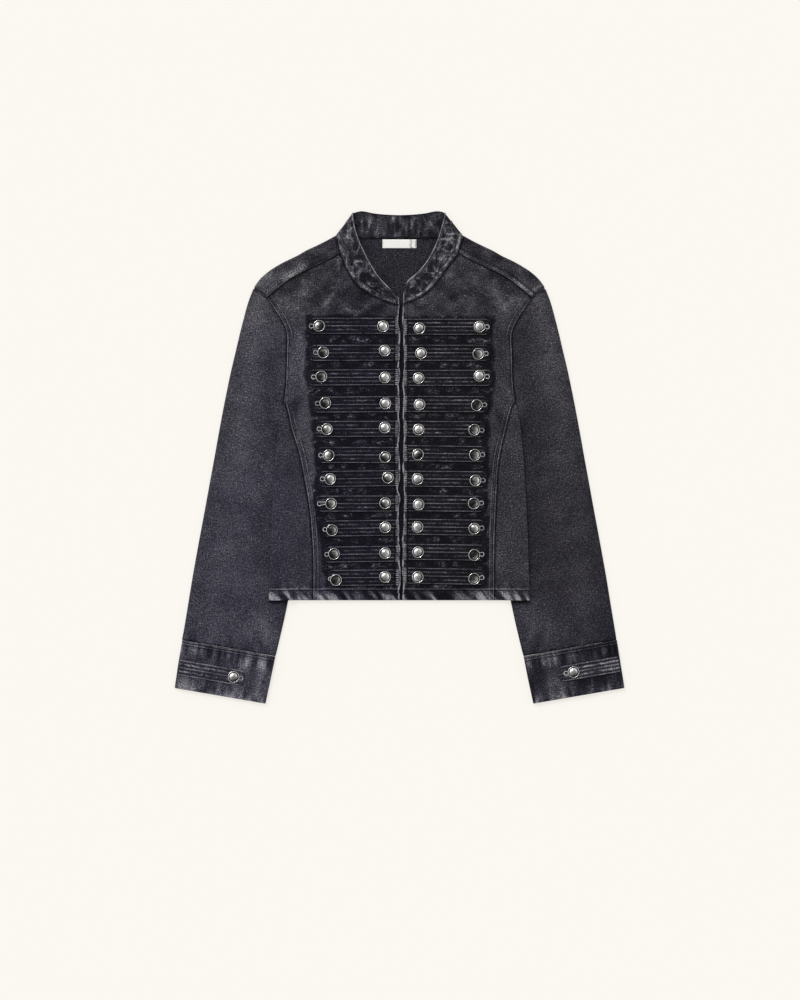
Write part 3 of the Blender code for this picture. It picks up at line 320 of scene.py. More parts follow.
# Fades of whole pieces.
INSIDE_FADE = -0.30
FRONT_FADE = {"right": -0.10, "left": -0.07}
STRIP_FADE = {"right": 0.25, "left": -0.01}  # between the straps' ends and the princess seam
CUFF_FADE = {"right": 0.10, "left": -0.30}
SHOULDER_FADE = {-1.0: (-0.30, 0.17), 1.0: (-0.36, 0.14)}  # by the sign of x: near the neck, at the tip
SLEEVE_FADE = {"right": 0.02, "left": -0.22}

# Where each piece's weave starts, in millimetres, so that no two show the same speckles.
FRONT_WEAVE, SIDE_WEAVE, BACK_WEAVE, INSIDE_WEAVE = 1000.0, 1400.0, 2000.0, 2500.0
SLEEVE_WEAVE, UNDER_WEAVE, CUFF_WEAVE, COLLAR_WEAVE = 3000.0, 500.0, 4000.0, 5000.0
STRAP_WEAVE, NEXT_STRAP = 6000.0, 40.0  # for a seed of 0, and for each unit of the seed
SLEEVE_GRAIN = math.radians(11.0)  # how far the sleeves' warp leans

# Stitches.
STITCH, STITCH_PITCH = (2.7, 0.85, 0.38), 3.3  # length, width and height
PLACKET_SWAY = 1.9  # how far the fronts' edges wander
RUNG, RUNG_PITCH, RUNGS = (4.8, 1.35, 0.34), 2.65, 9  # bar tacks: their size, spacing, and count at a strap
BEAD, BEAD_PITCH = (2.7, 2.1, 0.5), 4.1  # the shoulder's round stitches
SEAM_ROWS = (1.7, 7.6)  # distances of the double topstitching from a seam
COLLAR_ROWS, COLLAR_EDGE_ROW = (1.5, 6.0), 3.4  # from the collar's seam and from its edge
CUFF_ROWS = (1.0, 4.8)  # from the cuff's seam
OUTER_CHANNEL = 10.9  # distance of a strap's outer stitching from its middle
DOME_RADIUS = 6.3  # of a stud's dome, inside its groove

# Light and backdrop.
WORLD_OVERHEAD, WORLD_HORIZON = 0.27, 0.80
SOFTBOXES = (((-0.75, 0.45, 0.5), 1.1), ((0.8, 0.3, 0.5), 0.6))  # the way each one lies and its strength
KEY_FROM, KEY_STRENGTH, KEY_SPREAD = (-0.55, 0.75, 0.95), 1.35, 24.0  # spread in degrees
CREAM = (0.956, 0.930, 0.879)
FLOOR_LIT, FLOOR_GLOW = 0.30, 0.75
FLOOR_HALF, FLOOR_DROP = 3000.0, 0.3  # half its side, and how far it lies below the jacket

# Camera: the photo's frame is 800 by 1000 pixels of 1.45 mm at the jacket, and the sensor is as long as the
# frame's longer side.
PIXEL, PHOTO_HEIGHT = 1.45, 1000
LENS, SENSOR = 85.0, 36.0
VIEW_CENTRE = (0.87, -61.8)


# Curves and levels


def smooth(table, steps=8):
    """Points along a smooth curve through a table's rows."""
    rows = np.array(table, float)
    rows = np.vstack([2 * rows[0] - rows[1], rows, 2 * rows[-1] - rows[-2]])
    shares = np.linspace(0.0, 1.0, steps, endpoint=False)[:, None]
    spans = [
        b + 0.5 * shares * (c - a + shares * (2 * a - 5 * b + 4 * c - d + shares * (3 * (b - c) + d - a)))
        for a, b, c, d in zip(rows, rows[1:], rows[2:], rows[3:])
    ]
    return np.vstack([*spans, rows[-2]])


def reach_along(line):
    """Distance of each of a line's points from its start."""
    return np.concatenate([[0.0], np.cumsum(np.linalg.norm(np.diff(line, axis=0), axis=1))])


def along(table, shares):
    """Points at these shares of the length of the curve through a table's rows."""
    line = smooth(table)
    reach = reach_along(line)
    return np.stack([np.interp(shares, reach / reach[-1], line[:, axis]) for axis in (0, 1)], axis=-1)


def out_at(table, up):
    """How far out the curve through a table's rows lies at this height."""
    line = smooth(table)
    line = line[np.argsort(line[:, 1])]
    return np.interp(up, line[:, 1], line[:, 0])


def ease(share):
    """A smooth step from 0 to 1."""
    share = np.clip(share, 0.0, 1.0)
    return share * share * (3 - 2 * share)


def straight(start, end, shares):
    """Points at these shares of the way from start to end."""
    shares = np.asarray(shares, float)[:, None]
    return np.asarray(start) * (1 - shares) + np.asarray(end) * shares


def bend(table, shares):
    """How far the curve through a table's rows stands off its chord, at these shares of its length."""
    return along(table, shares) - straight(table[0], table[-1], shares)


def ramp_start(up):
    """How far out the body begins to rise over the sleeve at this height."""
    return out_at(SLEEVE_INNER, up) - RAMP - 1.0


def body_level(out, up):
    """Height of the body's underside: zero on the floor, and higher where it covers a sleeve."""
    return OVER_SLEEVE * ease((out - ramp_start(up)) / RAMP) * ease((LIFT_UP - up) / LIFT_LENGTH)


def noise(across, along_it, seed):
    """Smooth noise from -1 to 1 over two arrays, with about one bump to a unit."""
    across, along_it = np.broadcast_arrays(across, along_it)
    i, j = np.floor(across).astype(np.int64), np.floor(along_it).astype(np.int64)
    x, y = across - i, along_it - j
    x, y = x * x * (3 - 2 * x), y * y * (3 - 2 * y)

    def at(a, b):
        n = (a * 374761393 + b * 668265263 + seed * 362437) & 0x7FFFFFFF
        n = ((n ^ (n >> 13)) * 1274126177) & 0x7FFFFFFF
        return ((n ^ (n >> 16)) & 0xFFFF) / 32767.5 - 1.0

    low = at(i, j) * (1 - x) + at(i + 1, j) * x
    high = at(i, j + 1) * (1 - x) + at(i + 1, j + 1) * x
    return low * (1 - y) + high * y


def ridged(across, along_it, seed):
    """Noise whose ridges are thin and sharp, from 0 to 1."""
    return (1 - np.abs(noise(across, along_it, seed))) ** 3


def bell(distance, width):
    """1 at no distance, and down to 0 beyond the width."""
    return np.exp(-((distance / width) ** 2))


def creases(points, table):
    """Rise and fade of plan points by the creases of a table, where a fade under 0 is painted shade."""
    rise, fade = np.zeros(points.shape[:-1]), np.zeros(points.shape[:-1])
    for out, up, half_length, half_width, lean, bow, height, pale in table:
        turn = math.radians(lean)
        ahead = np.array([math.sin(turn), math.cos(turn)])
        away = points - (out, up)
        lengthwise = away @ ahead / half_length
        crosswise = (away @ (ahead[1], -ahead[0]) - bow * (1 - lengthwise**2)) / half_width
        reach = np.exp(-(lengthwise**4))
        ridge = np.exp(-(crosswise**2))
        rise += height * reach * (ridge - 0.4 * np.exp(-((crosswise - 1.9) ** 2)))
        fade += pale * reach * ridge
    return rise, fade


def wash_and_shade(points):
    """Fade of signed plan points by the table's soft patches, some of which are painted shade."""
    fade = np.zeros(points.shape[:-1])
    for x, up, half_width, half_height, pale in WASH_AND_SHADE:
        away = (points - (x, up)) / (half_width, half_height)
        fade += pale * np.exp(-(away**2).sum(-1))
    return fade


def tint_at(x, up):
    """How neutral the dye is: violet low on the wearer's right, greyer at the top, outer edge and left."""
    right = 0.6 * ease((up - 185.0) / 45.0) + 0.25 * ease((-x - 95.0) / 30.0) * ease((up + 30.0) / 40.0)
    right = np.clip(right + 0.35 * (1 - ease((out_at(SLEEVE_OUTER, up) + x) / 22.0)), 0.0, 0.8)
    left = 0.72 - 0.27 * ease((-190.0 - up) / 30.0)
    return right + (left - right) * ease((x + 60.0) / 120.0)


def to_line(points, line):
    """Distance of plan points from a line of points, and how far along it the nearest place lies."""
    flat = points.reshape(-1, 2)
    nearest, reach = np.full(len(flat), 1e9), np.zeros(len(flat))
    starts = reach_along(line)
    for start, end, before in zip(line, line[1:], starts):
        span = end - start
        length = math.hypot(*span)
        if length < 1e-6:
            continue
        share = np.clip((flat - start) @ span / length**2, 0.0, 1.0)
        away = np.hypot(*(flat - start - share[:, None] * span).T)
        closer = away < nearest
        nearest[closer] = away[closer]
        reach[closer] = before + share[closer] * length
    return nearest.reshape(points.shape[:-1]), reach.reshape(points.shape[:-1])


# Grids of pairs, as the solids have them.


def ply(plan, outer, inner):
    """A row of pairs over plan points. outer and inner: how high its faces lie over the body's underside."""
    plan = np.asarray(plan)
    height = body_level(plan[:, 0], plan[:, 1])
    return np.stack([np.column_stack([plan, height + level]) for level in (outer, inner)], axis=1)


def body_lip(fold, up, sign):
    """The pairs round half of the body's side fold: sign is 1 for the front's half and -1 for the back's."""
    centre_out, centre_height = fold - FOLD, body_level(fold - FOLD, up) + FOLD
    pairs = []
    for turn in np.radians(HALF_LIP):
        for radius in (FOLD, FOLD - DENIM):
            rise = max(radius * math.sin(turn), SEAM / 2)
            pairs.append((centre_out + radius * math.cos(turn), up, centre_height + sign * rise))
    return np.reshape(pairs, (-1, 2, 3))


def front_grid(side):
    centre = CENTRE_EDGE[side]
    strip = centre + np.array([0.0, PLACKET_WIDTH, PLACKET_WIDTH + PLACKET_STEP])
    rows = []
    for row, up in enumerate(BODY_UPS):
        edge = out_at(ARMHOLE_FRONT if up > UNDERARM_UP else PRINCESS[side], up) - SEAM / 2
        ramp = min(edge - RAMP / 2, ramp_start(up))
        outs = np.concatenate([strip, [(strip[-1] + ramp) / 2], np.linspace(ramp, edge, 4)])
        rise = HEM_RISE * np.array([row < 2 or column < 2 for column in range(len(outs))])
        rows.append(ply(np.column_stack([outs, np.full(len(outs), up)]), FLAT + rise, FLAT - DENIM))
    columns = (outs - centre) / (edge - centre)
    even = np.linspace(0.0, 1.0, len(columns))
    for share in YOKE_SHARES:
        inner = along(COLLAR_SEAM[side], [share])[0] + (SEAM * share, -SEAM)
        up = YOKE_UP + YOKE_TILT + (ARMHOLE_FRONT[0][1] - YOKE_UP - YOKE_TILT) * share
        outer = (out_at(ARMHOLE_FRONT, up) - SEAM / 2, up - SEAM / 2 * share)
        shares = columns + (even - columns) * share
        plan = straight(inner, outer, shares) + bend(SHOULDER_SEAM, shares) * share**2
        rise = HEM_RISE * (even < even[2]) * (share == 0.0)
        rows.append(ply(plan, FLAT + rise, FLAT - DENIM))
    return np.array(rows)


def side_grid(side):
    ups = np.concatenate([BODY_UPS[BODY_UPS < UNDERARM_UP], [UNDERARM_UP - 2.5]])
    rows = []
    for row, up in enumerate(ups):
        inner = out_at(PRINCESS[side], up) + SEAM / 2 + 0.5 * (up > UNDERARM_UP - 5.0)
        fold = out_at(SIDE_FOLD, up) - SEAM / 2
        ramp_end = min(max(ramp_start(up) + RAMP, inner + 0.3 * (fold - inner)), fold - 2 * FOLD)
        outs = [*np.linspace(inner, ramp_end, 4), (ramp_end + fold - FOLD) / 2]
        flat = ply(np.column_stack([outs, np.full(len(outs), up)]), FLAT + HEM_RISE * (row < 2), FLAT - DENIM)
        rows.append(np.concatenate([flat, body_lip(fold, up, 1.0)]))
    return np.array(rows)


def shoulder_lip(plan, angle):
    """A row of pairs round the shoulder's fold, at this angle round it."""
    turn = math.radians(angle)
    armhole_ahead = np.array(ARMHOLE_FRONT[0]) - ARMHOLE_BACK[0]
    armhole_ahead /= np.linalg.norm(armhole_ahead)
    faces = []
    for radius in (FOLD, FOLD - DENIM):
        inset = FOLD - radius * math.cos(turn)
        moved = plan - SHOULDER_AHEAD * inset
        moved[-1] = plan[-1] + armhole_ahead * inset
        faces.append(np.column_stack([moved, np.full(len(plan), FOLD + radius * math.sin(turn))]))
        if angle > -90.0:
            beside_collar = out_at(COLLAR_SEAM_OVER_SHOULDER, faces[-1][0, 1]) + SEAM
            faces[-1][0, 0] = max(faces[-1][0, 0], beside_collar)
    return np.stack(faces, axis=1)


def back_half():
    rows = []
    for up in BODY_UPS:
        folded = up < UNDERARM_UP
        edge = (out_at(SIDE_FOLD, up) - FOLD if folded else out_at(ARMHOLE_BACK, up)) - SEAM / 2
        last = edge if folded else edge - ARMHOLE_STRIP
        ramp_end = min(ramp_start(up) + RAMP, last - FOLD)
        ramp = ramp_end - RAMP
        outs = [0.0, ramp / 2, *np.linspace(ramp, ramp_end, 4), (ramp_end + last) / 2]
        if folded:
            end = body_lip(edge + FOLD, up, -1.0)
        else:
            end = ply(straight((last, up), (edge, up), (0.0, 0.5, 1.0)), 0.0, DENIM)
        rows.append(np.concatenate([ply(np.column_stack([outs, np.full(len(outs), up)]), 0.0, DENIM), end]))
    columns = rows[-1][:, 0, 0] / edge
    even = np.linspace(0.0, 1.0, len(columns))
    for share in np.linspace(0.0, 1.0, 7)[1:]:
        shares = columns + (even - columns) * share
        up = YOKE_UP + (SHOULDER_FOLD[-1][1] - YOKE_UP) * share
        inner = (0.0, YOKE_UP + (BACK_NECK[0][1] - NECK_GAP - YOKE_UP) * min(1.0, share / 0.5))
        if share > 0.5:
            inner = along(BACK_NECK, [(share - 0.5) / 0.5])[0] - (0.0, NECK_GAP)
        outer = (out_at(ARMHOLE_BACK, up) - SEAM / 2, up)
        plan = straight(inner, outer, shares) + bend(SHOULDER_FOLD, shares) * share**3
        rows.append(ply(plan, 0.0, DENIM))
    rows[-1:] = [shoulder_lip(plan, angle) for angle in (-90.0, *LIP_ANGLES[::-1], 90.0)]
    seam_row = along(SHOULDER_SEAM, even) + SHOULDER_AHEAD * SEAM / 2
    seam_row[0, 0] += SEAM
    for share in (0.5, 1.0):
        rows.append(ply(plan * (1 - share) + seam_row * share, FLAT, FLAT - DENIM))
        rows[-1][0, :, 0] = out_at(COLLAR_SEAM_OVER_SHOULDER, rows[-1][0, 0, 1]) + SEAM
    return np.array(rows)


def tube_row(upper, lower, height, thickness, crown, inwards):
    """The pairs round a flattened tube, between the plans of its upper and its lower ply."""
    radius = height / 2
    turns = np.radians(LIP_ANGLES)

    def lip(edge, inward, turns):
        return [
            [(*(edge + inward * (radius - arc * math.cos(turn))), radius + arc * math.sin(turn))
             for arc in (radius, radius - thickness)]
            for turn in turns
        ]

    top = [
        [(*point, height + extra - depth) for depth in (0.0, thickness)]
        for point, extra in zip(upper[1:-1], crown)
    ]
    bottom = [[(*point, depth) for depth in (0.0, thickness)] for point in lower[-2:0:-1]]
    inner_lip, outer_lip = lip(upper[-1], inwards[1], turns), lip(upper[0], inwards[0], turns[::-1])
    return np.array([*top, *inner_lip, *bottom, *outer_lip])


def folds(plan):
    """Rise of a sleeve's upper ply by its folds."""
    rise = np.zeros(len(plan))
    for out, up, half_length, half_width, lean, height in SLEEVE_FOLDS:
        ahead = np.array([math.sin(math.radians(lean)), -math.cos(math.radians(lean))])
        away = plan - (out, up)
        lengthwise, crosswise = away @ ahead, away @ (-ahead[1], ahead[0])
        rise += height * np.exp(-((lengthwise / half_length) ** 2) - (crosswise / half_width) ** 2)
    return rise


def inward_normal(table, share, sign):
    """The unit vector square to the curve through a table's rows, on the side that the sign gives."""
    before, after = along(table, [max(0.0, share - 0.004), min(1.0, share + 0.004)])
    tangent = (after - before) / np.linalg.norm(after - before)
    return sign * np.array([-tangent[1], tangent[0]])


def armhole_points(table, tip):
    """Points along an armhole's curve, from the shoulder's tip to the underarm."""
    ups = [ARMHOLE_FRONT[0][1], *BODY_UPS[BODY_UPS > UNDERARM_UP][::-1]]
    points = np.column_stack([out_at(table, np.array(ups)), ups])
    tip, underarm = np.array(tip), np.array(table[-1])
    ahead = (points[0] - tip) / np.linalg.norm(points[0] - tip)
    behind = (points[-1] - underarm) / np.linalg.norm(points[-1] - underarm)
    return np.vstack([tip, tip + ahead * FOLD, points, underarm + behind * FOLD, underarm])


def sleeve_grid():
    tip = ARMHOLE_BACK[0]
    armholes = [armhole_points(table, tip) for table in (ARMHOLE_FRONT, ARMHOLE_BACK)]
    reach = reach_along(armholes[0])
    shares = reach / reach[-1]
    even = np.linspace(0.0, 1.0, len(shares))
    rows = []
    for outer_share, inner_share in SLEEVE_ROWS:
        outer, inner = along(SLEEVE_OUTER, [outer_share])[0], along(SLEEVE_INNER, [inner_share])[0]
        at_armhole = outer_share == 0.0
        inwards = [
            inward_normal(SLEEVE_OUTER, outer_share, -1.0), inward_normal(SLEEVE_INNER, inner_share, 1.0),
        ]
        if at_armhole:
            across = (inner - outer) / np.linalg.norm(inner - outer)
            inwards = [across, (armholes[0][-2] - armholes[0][-1]) / FOLD]
        fade = np.clip(1.0 - outer_share / ARMHOLE_FADE, 0.0, 1.0) ** 1.3
        level = shares + (even - shares) * min(1.0, outer_share / EVEN_BY)
        plans = []
        for points in armholes:
            plan = straight(outer, inner, level)
            plan += fade * (points - straight(points[0], points[-1], shares)) + (SEAM / 2, -SEAM / 4)
            plan[-2] = plan[-1] + inwards[1] * FOLD
            if not at_armhole:
                plan[1] = plan[0] + inwards[0] * FOLD
            plans.append(plan)
        middle = plans[0][1:-1]
        crown = SLEEVE_CROWN * ease(outer_share / 0.3) * (1 - (2 * level[1:-1] - 1) ** 2)
        cover = out_at(SIDE_FOLD, middle[:, 1]) - middle[:, 0]
        crown += folds(middle) * (1 - ease((cover + 8.0) / 8.0)) * ease(outer_share / 0.05)
        rows.append(tube_row(*plans, FLAT, DENIM, crown, inwards))
    return np.array(rows)


def cuff_place(across, down):
    """A plan point on a cuff, at a share across from its outer edge and a share down from its seam."""
    top_outer, top_inner, end_outer, end_inner = np.array(CUFF_CORNERS)
    top = top_outer * (1 - across) + top_inner * across
    return top * (1 - down) + (end_outer * (1 - across) + end_inner * across) * down


def cuff_shares(plan):
    """The inverse of cuff_place: shares across and down for plan points."""
    top_outer, top_inner, end_outer, _ = np.array(CUFF_CORNERS)
    wide, deep = top_inner - top_outer, end_outer - top_outer
    return np.moveaxis((plan - top_outer) @ np.linalg.inv(np.array([wide, deep])), -1, 0)


def cuff_grid():
    rows = []
    for down in (0.0, 0.5, 1.0):
        width = np.linalg.norm(cuff_place(1.0, down) - cuff_place(0.0, down))
        inset = CUFF_HEIGHT / 2 / width
        plan = np.array([cuff_place(across, down) for across in (0.0, inset, 0.33, 0.67, 1 - inset, 1.0)])
        across = (plan[-1] - plan[0]) / width
        rows.append(tube_row(plan, plan, CUFF_HEIGHT, DOUBLED, np.zeros(len(plan) - 2), (across, -across)))
    return np.array(rows)


def collar_row(start, end, outer, inner):
    """A row of pairs up the collar. outer and inner: the heights of its faces at the seam and at the edge."""
    shares = np.array(COLLAR_RISE_SHARES)
    plan = straight(start, end, shares)
    return np.stack(
        [np.column_stack([plan, low + (high - low) * shares]) for low, high in (outer, inner)], axis=1
    )


def collar_lip(fold_start, fold_end, angle):
    """A row of pairs round the collar's roll at the shoulder, at this angle round it."""
    turn = math.radians(angle)
    shares = np.array(COLLAR_RISE_SHARES)
    plan = straight(fold_start, fold_end, shares)
    radii = (LOFT_AT_SEAM + (LOFT_AT_EDGE - LOFT_AT_SEAM) * shares) / 2
    faces = []
    for depth in (0.0, DOUBLED):
        inset = COLLAR_FOLD_DEPTH * radii * (1 - math.cos(turn)) + depth * math.cos(turn)
        faces.append(
            np.column_stack([plan[:, 0] - inset, plan[:, 1], radii + (radii - depth) * math.sin(turn)])
        )
    return np.stack(faces, axis=1)


def collar_side(side):
    starts = np.vstack([
        along(COLLAR_SEAM[side], YOKE_SHARES), along(COLLAR_SEAM_OVER_SHOULDER, COLLAR_OVER_SHARES),
    ])
    over_shares = COLLAR_EDGE_SHARE + (1 - COLLAR_EDGE_SHARE) * np.array(COLLAR_OVER_SHARES)
    edge_shares = np.concatenate([COLLAR_EDGE_SHARE * YOKE_SHARES, over_shares])
    flat_end = FLAT + DOUBLED - DENIM
    rows = []
    for share, start, end in zip(edge_shares, starts, along(COLLAR_EDGE[side], edge_shares)):
        loft = ease((share - 0.35) / 0.65)
        outer = flat_end + loft * (np.array([LOFT_AT_SEAM, LOFT_AT_EDGE]) - flat_end)
        rows.append(collar_row(start, end, outer, outer - DOUBLED))
    for angle in LIP_ANGLES:
        rows.append(collar_lip(BACK_NECK[-1], COLLAR_EDGE[side][-1], angle))
    for share in COLLAR_BACK_SHARES:
        start, end = along(BACK_NECK, [share])[0], along(COLLAR_TOP, [share])[0]
        rows.append(collar_row(start, end, (0.0, 0.0), (DOUBLED, DOUBLED)))
    return rows


def collar_grid():
    middle = collar_row(BACK_NECK[0], COLLAR_TOP[0], (0.0, 0.0), (DOUBLED, DOUBLED))
    right = np.array(collar_side("right")) * (-1.0, 1.0, 1.0)
    left = np.array(collar_side("left"))
    return np.concatenate([right, [middle], left[::-1]])


# Fine grids


def through(knots, values, at):
    """Smooth values at these places of the first axis, through values at its knots, with no overshoot."""
    wide = (-1,) + (1,) * (values.ndim - 1)
    steps = np.diff(knots).reshape(wide)
    slopes = np.diff(values, axis=0) / steps
    before, after = slopes[:-1], slopes[1:]
    first, second = 2 * steps[1:] + steps[:-1], steps[1:] + 2 * steps[:-1]
    same_way = before * after > 0
    safe_before, safe_after = np.where(same_way, before, 1.0), np.where(same_way, after, 1.0)
    tangents = np.empty_like(values)
    tangents[1:-1] = np.where(same_way, (first + second) / (first / safe_before + second / safe_after), 0.0)
    tangents[0], tangents[-1] = slopes[0], slopes[-1]
    i = np.clip(np.searchsorted(knots, at, side="right") - 1, 0, len(knots) - 2)
    step = np.diff(knots)[i].reshape(wide)
    t = ((at - knots[i]) / np.diff(knots)[i]).reshape(wide)
    return (
        values[i] * (1 + 2 * t) * (1 - t) ** 2 + tangents[i] * step * t * (1 - t) ** 2
        + values[i + 1] * t * t * (3 - 2 * t) + tangents[i + 1] * step * t * t * (t - 1)
    )


def finer(values, spacing, ring=False):
    """A grid of pairs with more rows, no further apart than the spacing, which may differ by interval. A
    ring's last row is followed by its first."""
    if ring:
        values = np.concatenate([values[-3:], values, values[:4]])
    steps = np.linalg.norm(np.diff(values[:, :, 0], axis=0), axis=-1)
    steps = np.maximum(np.quantile(steps, 0.8, axis=1), 0.05)
    knots = np.concatenate([[0.0], np.cumsum(steps)])
    counts = np.ceil(steps / np.broadcast_to(spacing, steps.shape)).astype(int)
    places = [np.linspace(a, b, count, endpoint=False) for a, b, count in zip(knots, knots[1:], counts)]
    places = places[3:-3] if ring else [*places, knots[-1:]]
    return through(knots, values, np.concatenate(places))


def fine(grid, row_spacing, column_spacing, ring=False):
    """A grid of pairs with more rows and more columns."""
    columns = np.swapaxes(finer(grid, row_spacing), 0, 1)
    return np.swapaxes(finer(columns, column_spacing, ring), 0, 1)


def normals(face, ring):
    """Unit normals of a grid of points."""
    if ring:
        around = np.concatenate([face[:, -1:], face, face[:, :1]], axis=1)
        across = around[:, 2:] - around[:, :-2]
    else:
        across = np.gradient(face, axis=1)
    square = np.cross(across, np.gradient(face, axis=0))
    return square / np.maximum(np.linalg.norm(square, axis=-1, keepdims=True), 1e-9)


# Meshes


def add_mesh(name, points, faces, material, smooth_by=40.0):
    """An object from points in millimetres and faces of three or four corners each."""
    mesh = bpy.data.meshes.new(name)
    faces = np.asarray(faces, np.int32)
    mesh.vertices.add(len(points))
    mesh.vertices.foreach_set("co", (np.asarray(points, float) * MM).ravel())
    mesh.loops.add(faces.size)
    mesh.loops.foreach_set("vertex_index", faces.ravel())
    mesh.polygons.add(len(faces))
    mesh.polygons.foreach_set("loop_start", np.arange(0, faces.size, faces.shape[1], dtype=np.int32))
    mesh.update(calc_edges=True)
    mesh.materials.append(material)
    mesh.shade_smooth()
    if smooth_by:
        mesh.set_sharp_from_angle(angle=math.radians(smooth_by))
    obj = bpy.data.objects.new(name, mesh)
    bpy.context.scene.collection.objects.link(obj)
    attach(obj, BODY)
    return obj


def set_values(obj, name, values):
    """A value or a vector for each point of a mesh."""
    values = np.asarray(values, float)
    kind = "FLOAT" if values.ndim == 1 else "FLOAT_VECTOR"
    obj.data.attributes.new(name, kind, "POINT").data.foreach_set(
        "value" if kind == "FLOAT" else "vector", values.ravel()
    )


def shell_faces(rows, columns, ring):
    """Corners of a closed wall: its outer points come first, row by row, then its inner ones."""
    wraps = columns if ring else columns - 1
    i, j = np.meshgrid(np.arange(rows - 1), np.arange(wraps), indexing="ij")
    k = (j + 1) % columns
    row, next_row = i * columns, (i + 1) * columns
    outer = np.stack([row + j, row + k, next_row + k, next_row + j], axis=-1).reshape(-1, 4)
    depth = rows * columns
    faces = [outer, outer[:, ::-1] + depth]

    def rim(cells, turned):
        a, b = (cells[:-1], cells[1:]) if turned else (cells[1:], cells[:-1])
        faces.append(np.stack([a, b, b + depth, a + depth], axis=-1))

    line = np.arange(wraps + 1) % columns
    rim(line, False)
    rim((rows - 1) * columns + line, True)
    if not ring:
        rim(np.arange(rows) * columns, True)
        rim(np.arange(rows) * columns + columns - 1, False)
    return np.concatenate(faces)


def solid(name, points, faces, material):
    """A closed mesh, turned so that its faces point outwards."""
    corners = points[faces]
    volume = np.einsum("ij,ij->i", corners[:, 0], np.cross(corners[:, 1], corners[:, 2])).sum()
    volume += np.einsum("ij,ij->i", corners[:, 0], np.cross(corners[:, 2], corners[:, 3])).sum()
    return add_mesh(name, points, faces if volume > 0 else faces[:, ::-1], material)


def set_cloth(obj, points, fade, weave):
    """What the denim reads at each point: its fade, its place in the weave, and its tint by where it lies."""
    set_values(obj, "fade", fade)
    set_values(obj, "weave", np.column_stack([weave, np.zeros(len(weave))]))
    set_values(obj, "tint", tint_at(points[:, 0], points[:, 1]))


def shell(name, pairs, sign, material, fades, weave, ring=False):
    """A closed wall of cloth. fades are those of its outer and inner faces, which share a weave."""
    points = (pairs * (sign, 1.0, 1.0)).transpose(2, 0, 1, 3).reshape(-1, 3)
    obj = solid(name, points, shell_faces(*pairs.shape[:2], ring), material)
    fade = np.concatenate([np.ravel(values) for values in fades])
    set_cloth(obj, points, fade, np.tile(weave.reshape(-1, 2), (2, 1)))
    return obj


def slab(plan, top, base):
    """Pairs over one plan, at the heights of its top and at a flat base."""
    return np.stack([np.dstack([plan, height]) for height in (top, np.full(top.shape, base))], axis=2)


def relieved(pairs, rise, ring=False, inner_rise=None):
    """Pairs with their outer face raised square to itself, and their inner face where a rise is given."""
    outer, inner = pairs[:, :, 0], pairs[:, :, 1]
    square = normals(outer, ring)
    outward = np.sign(((outer - inner) * square).sum(-1).sum())
    moved = outer + square * outward * rise[..., None]
    if inner_rise is not None:
        inner = inner - normals(inner, ring) * outward * inner_rise[..., None]
    moved[..., 2] = np.maximum(moved[..., 2], 0.0)
    return np.stack([moved, inner], axis=2)


# Materials


def material_with(name, roughness, **inputs):
    material = bpy.data.materials.new(name)
    material.use_nodes = True
    shader = material.node_tree.nodes["Principled BSDF"]
    shader.inputs["Roughness"].default_value = roughness
    for socket, value in inputs.items():
        shader.inputs[socket.replace("_", " ")].default_value = value
    return material, material.node_tree, shader


def add_node(tree, kind, links=(), operation=None, **values):
    """A node with its inputs set by name or number and linked from other nodes' outputs."""
    node = tree.nodes.new("ShaderNode" + kind)
    if operation:
        node.operation = operation
    for key, value in values.items():
        setattr(node, key, value)
    for socket, source in dict(links).items():
        if hasattr(source, "links"):
            tree.links.new(source, node.inputs[socket])
        else:
            node.inputs[socket].default_value = source
    return node


def ramp(tree, source, stops):
    """A colour by a value, from stops of (value, colour)."""
    node = add_node(tree, "ValToRGB", {0: source})
    band = node.color_ramp
    while len(band.elements) < len(stops):
        band.elements.new(0.5)
    for element, (place, colour) in zip(band.elements, stops):
        element.position = place
        element.color = (*colour, 1.0)
    return node.outputs[0]


def math_node(tree, operation, first, second):
    return add_node(tree, "Math", {0: first, 1: second}, operation).outputs[0]


def noise_at(tree, vector, scale, detail=1.0, roughness=0.5, stretch=None):
    """Noise at a place. stretch scales its three axes first."""
    if stretch:
        vector = add_node(tree, "VectorMath", {0: vector, 1: stretch}, "MULTIPLY").outputs[0]
    links = {"Vector": vector, "Scale": scale, "Detail": detail, "Roughness": roughness}
    return add_node(tree, "TexNoise", links).outputs["Fac"]


def centred(tree, value):
    """A value of 0 to 1, moved to lie about 0."""
    return math_node(tree, "SUBTRACT", value, 0.5)


def added(tree, base, value, amount):
    """A base with this amount of a value on it."""
    return math_node(tree, "ADD", math_node(tree, "MULTIPLY", value, amount), base)


def attribute(tree, name, output="Fac"):
    return add_node(tree, "Attribute", attribute_name=name).outputs[output]


def dress(tree, shader, colour, height=None, strength=0.0, depth=0.0):
    """Links a shader's colour, and its bump where a height is given. depth is in metres."""
    tree.links.new(colour, shader.inputs["Base Color"])
    if height is not None:
        bump = add_node(tree, "Bump", {"Height": height, "Strength": strength, "Distance": depth})
        tree.links.new(bump.outputs[0], shader.inputs["Normal"])


# Colour stops from black to fully worn, for the wearer's right side, which is a little violet, and the left.
VIOLET_STOPS = (
    (0.0, (0.0040, 0.0034, 0.0063)), (0.25, (0.0118, 0.0103, 0.0182)), (0.5, (0.0370, 0.0345, 0.0520)),
    (0.75, (0.1130, 0.1090, 0.1370)), (1.0, (0.3300, 0.3250, 0.3500)),
)
NEUTRAL_STOPS = (
    (0.0, (0.0038, 0.0036, 0.0046)), (0.25, (0.0112, 0.0105, 0.0133)), (0.5, (0.0355, 0.0340, 0.0395)),
    (0.75, (0.1110, 0.1080, 0.1170)), (1.0, (0.3300, 0.3270, 0.3370)),
)


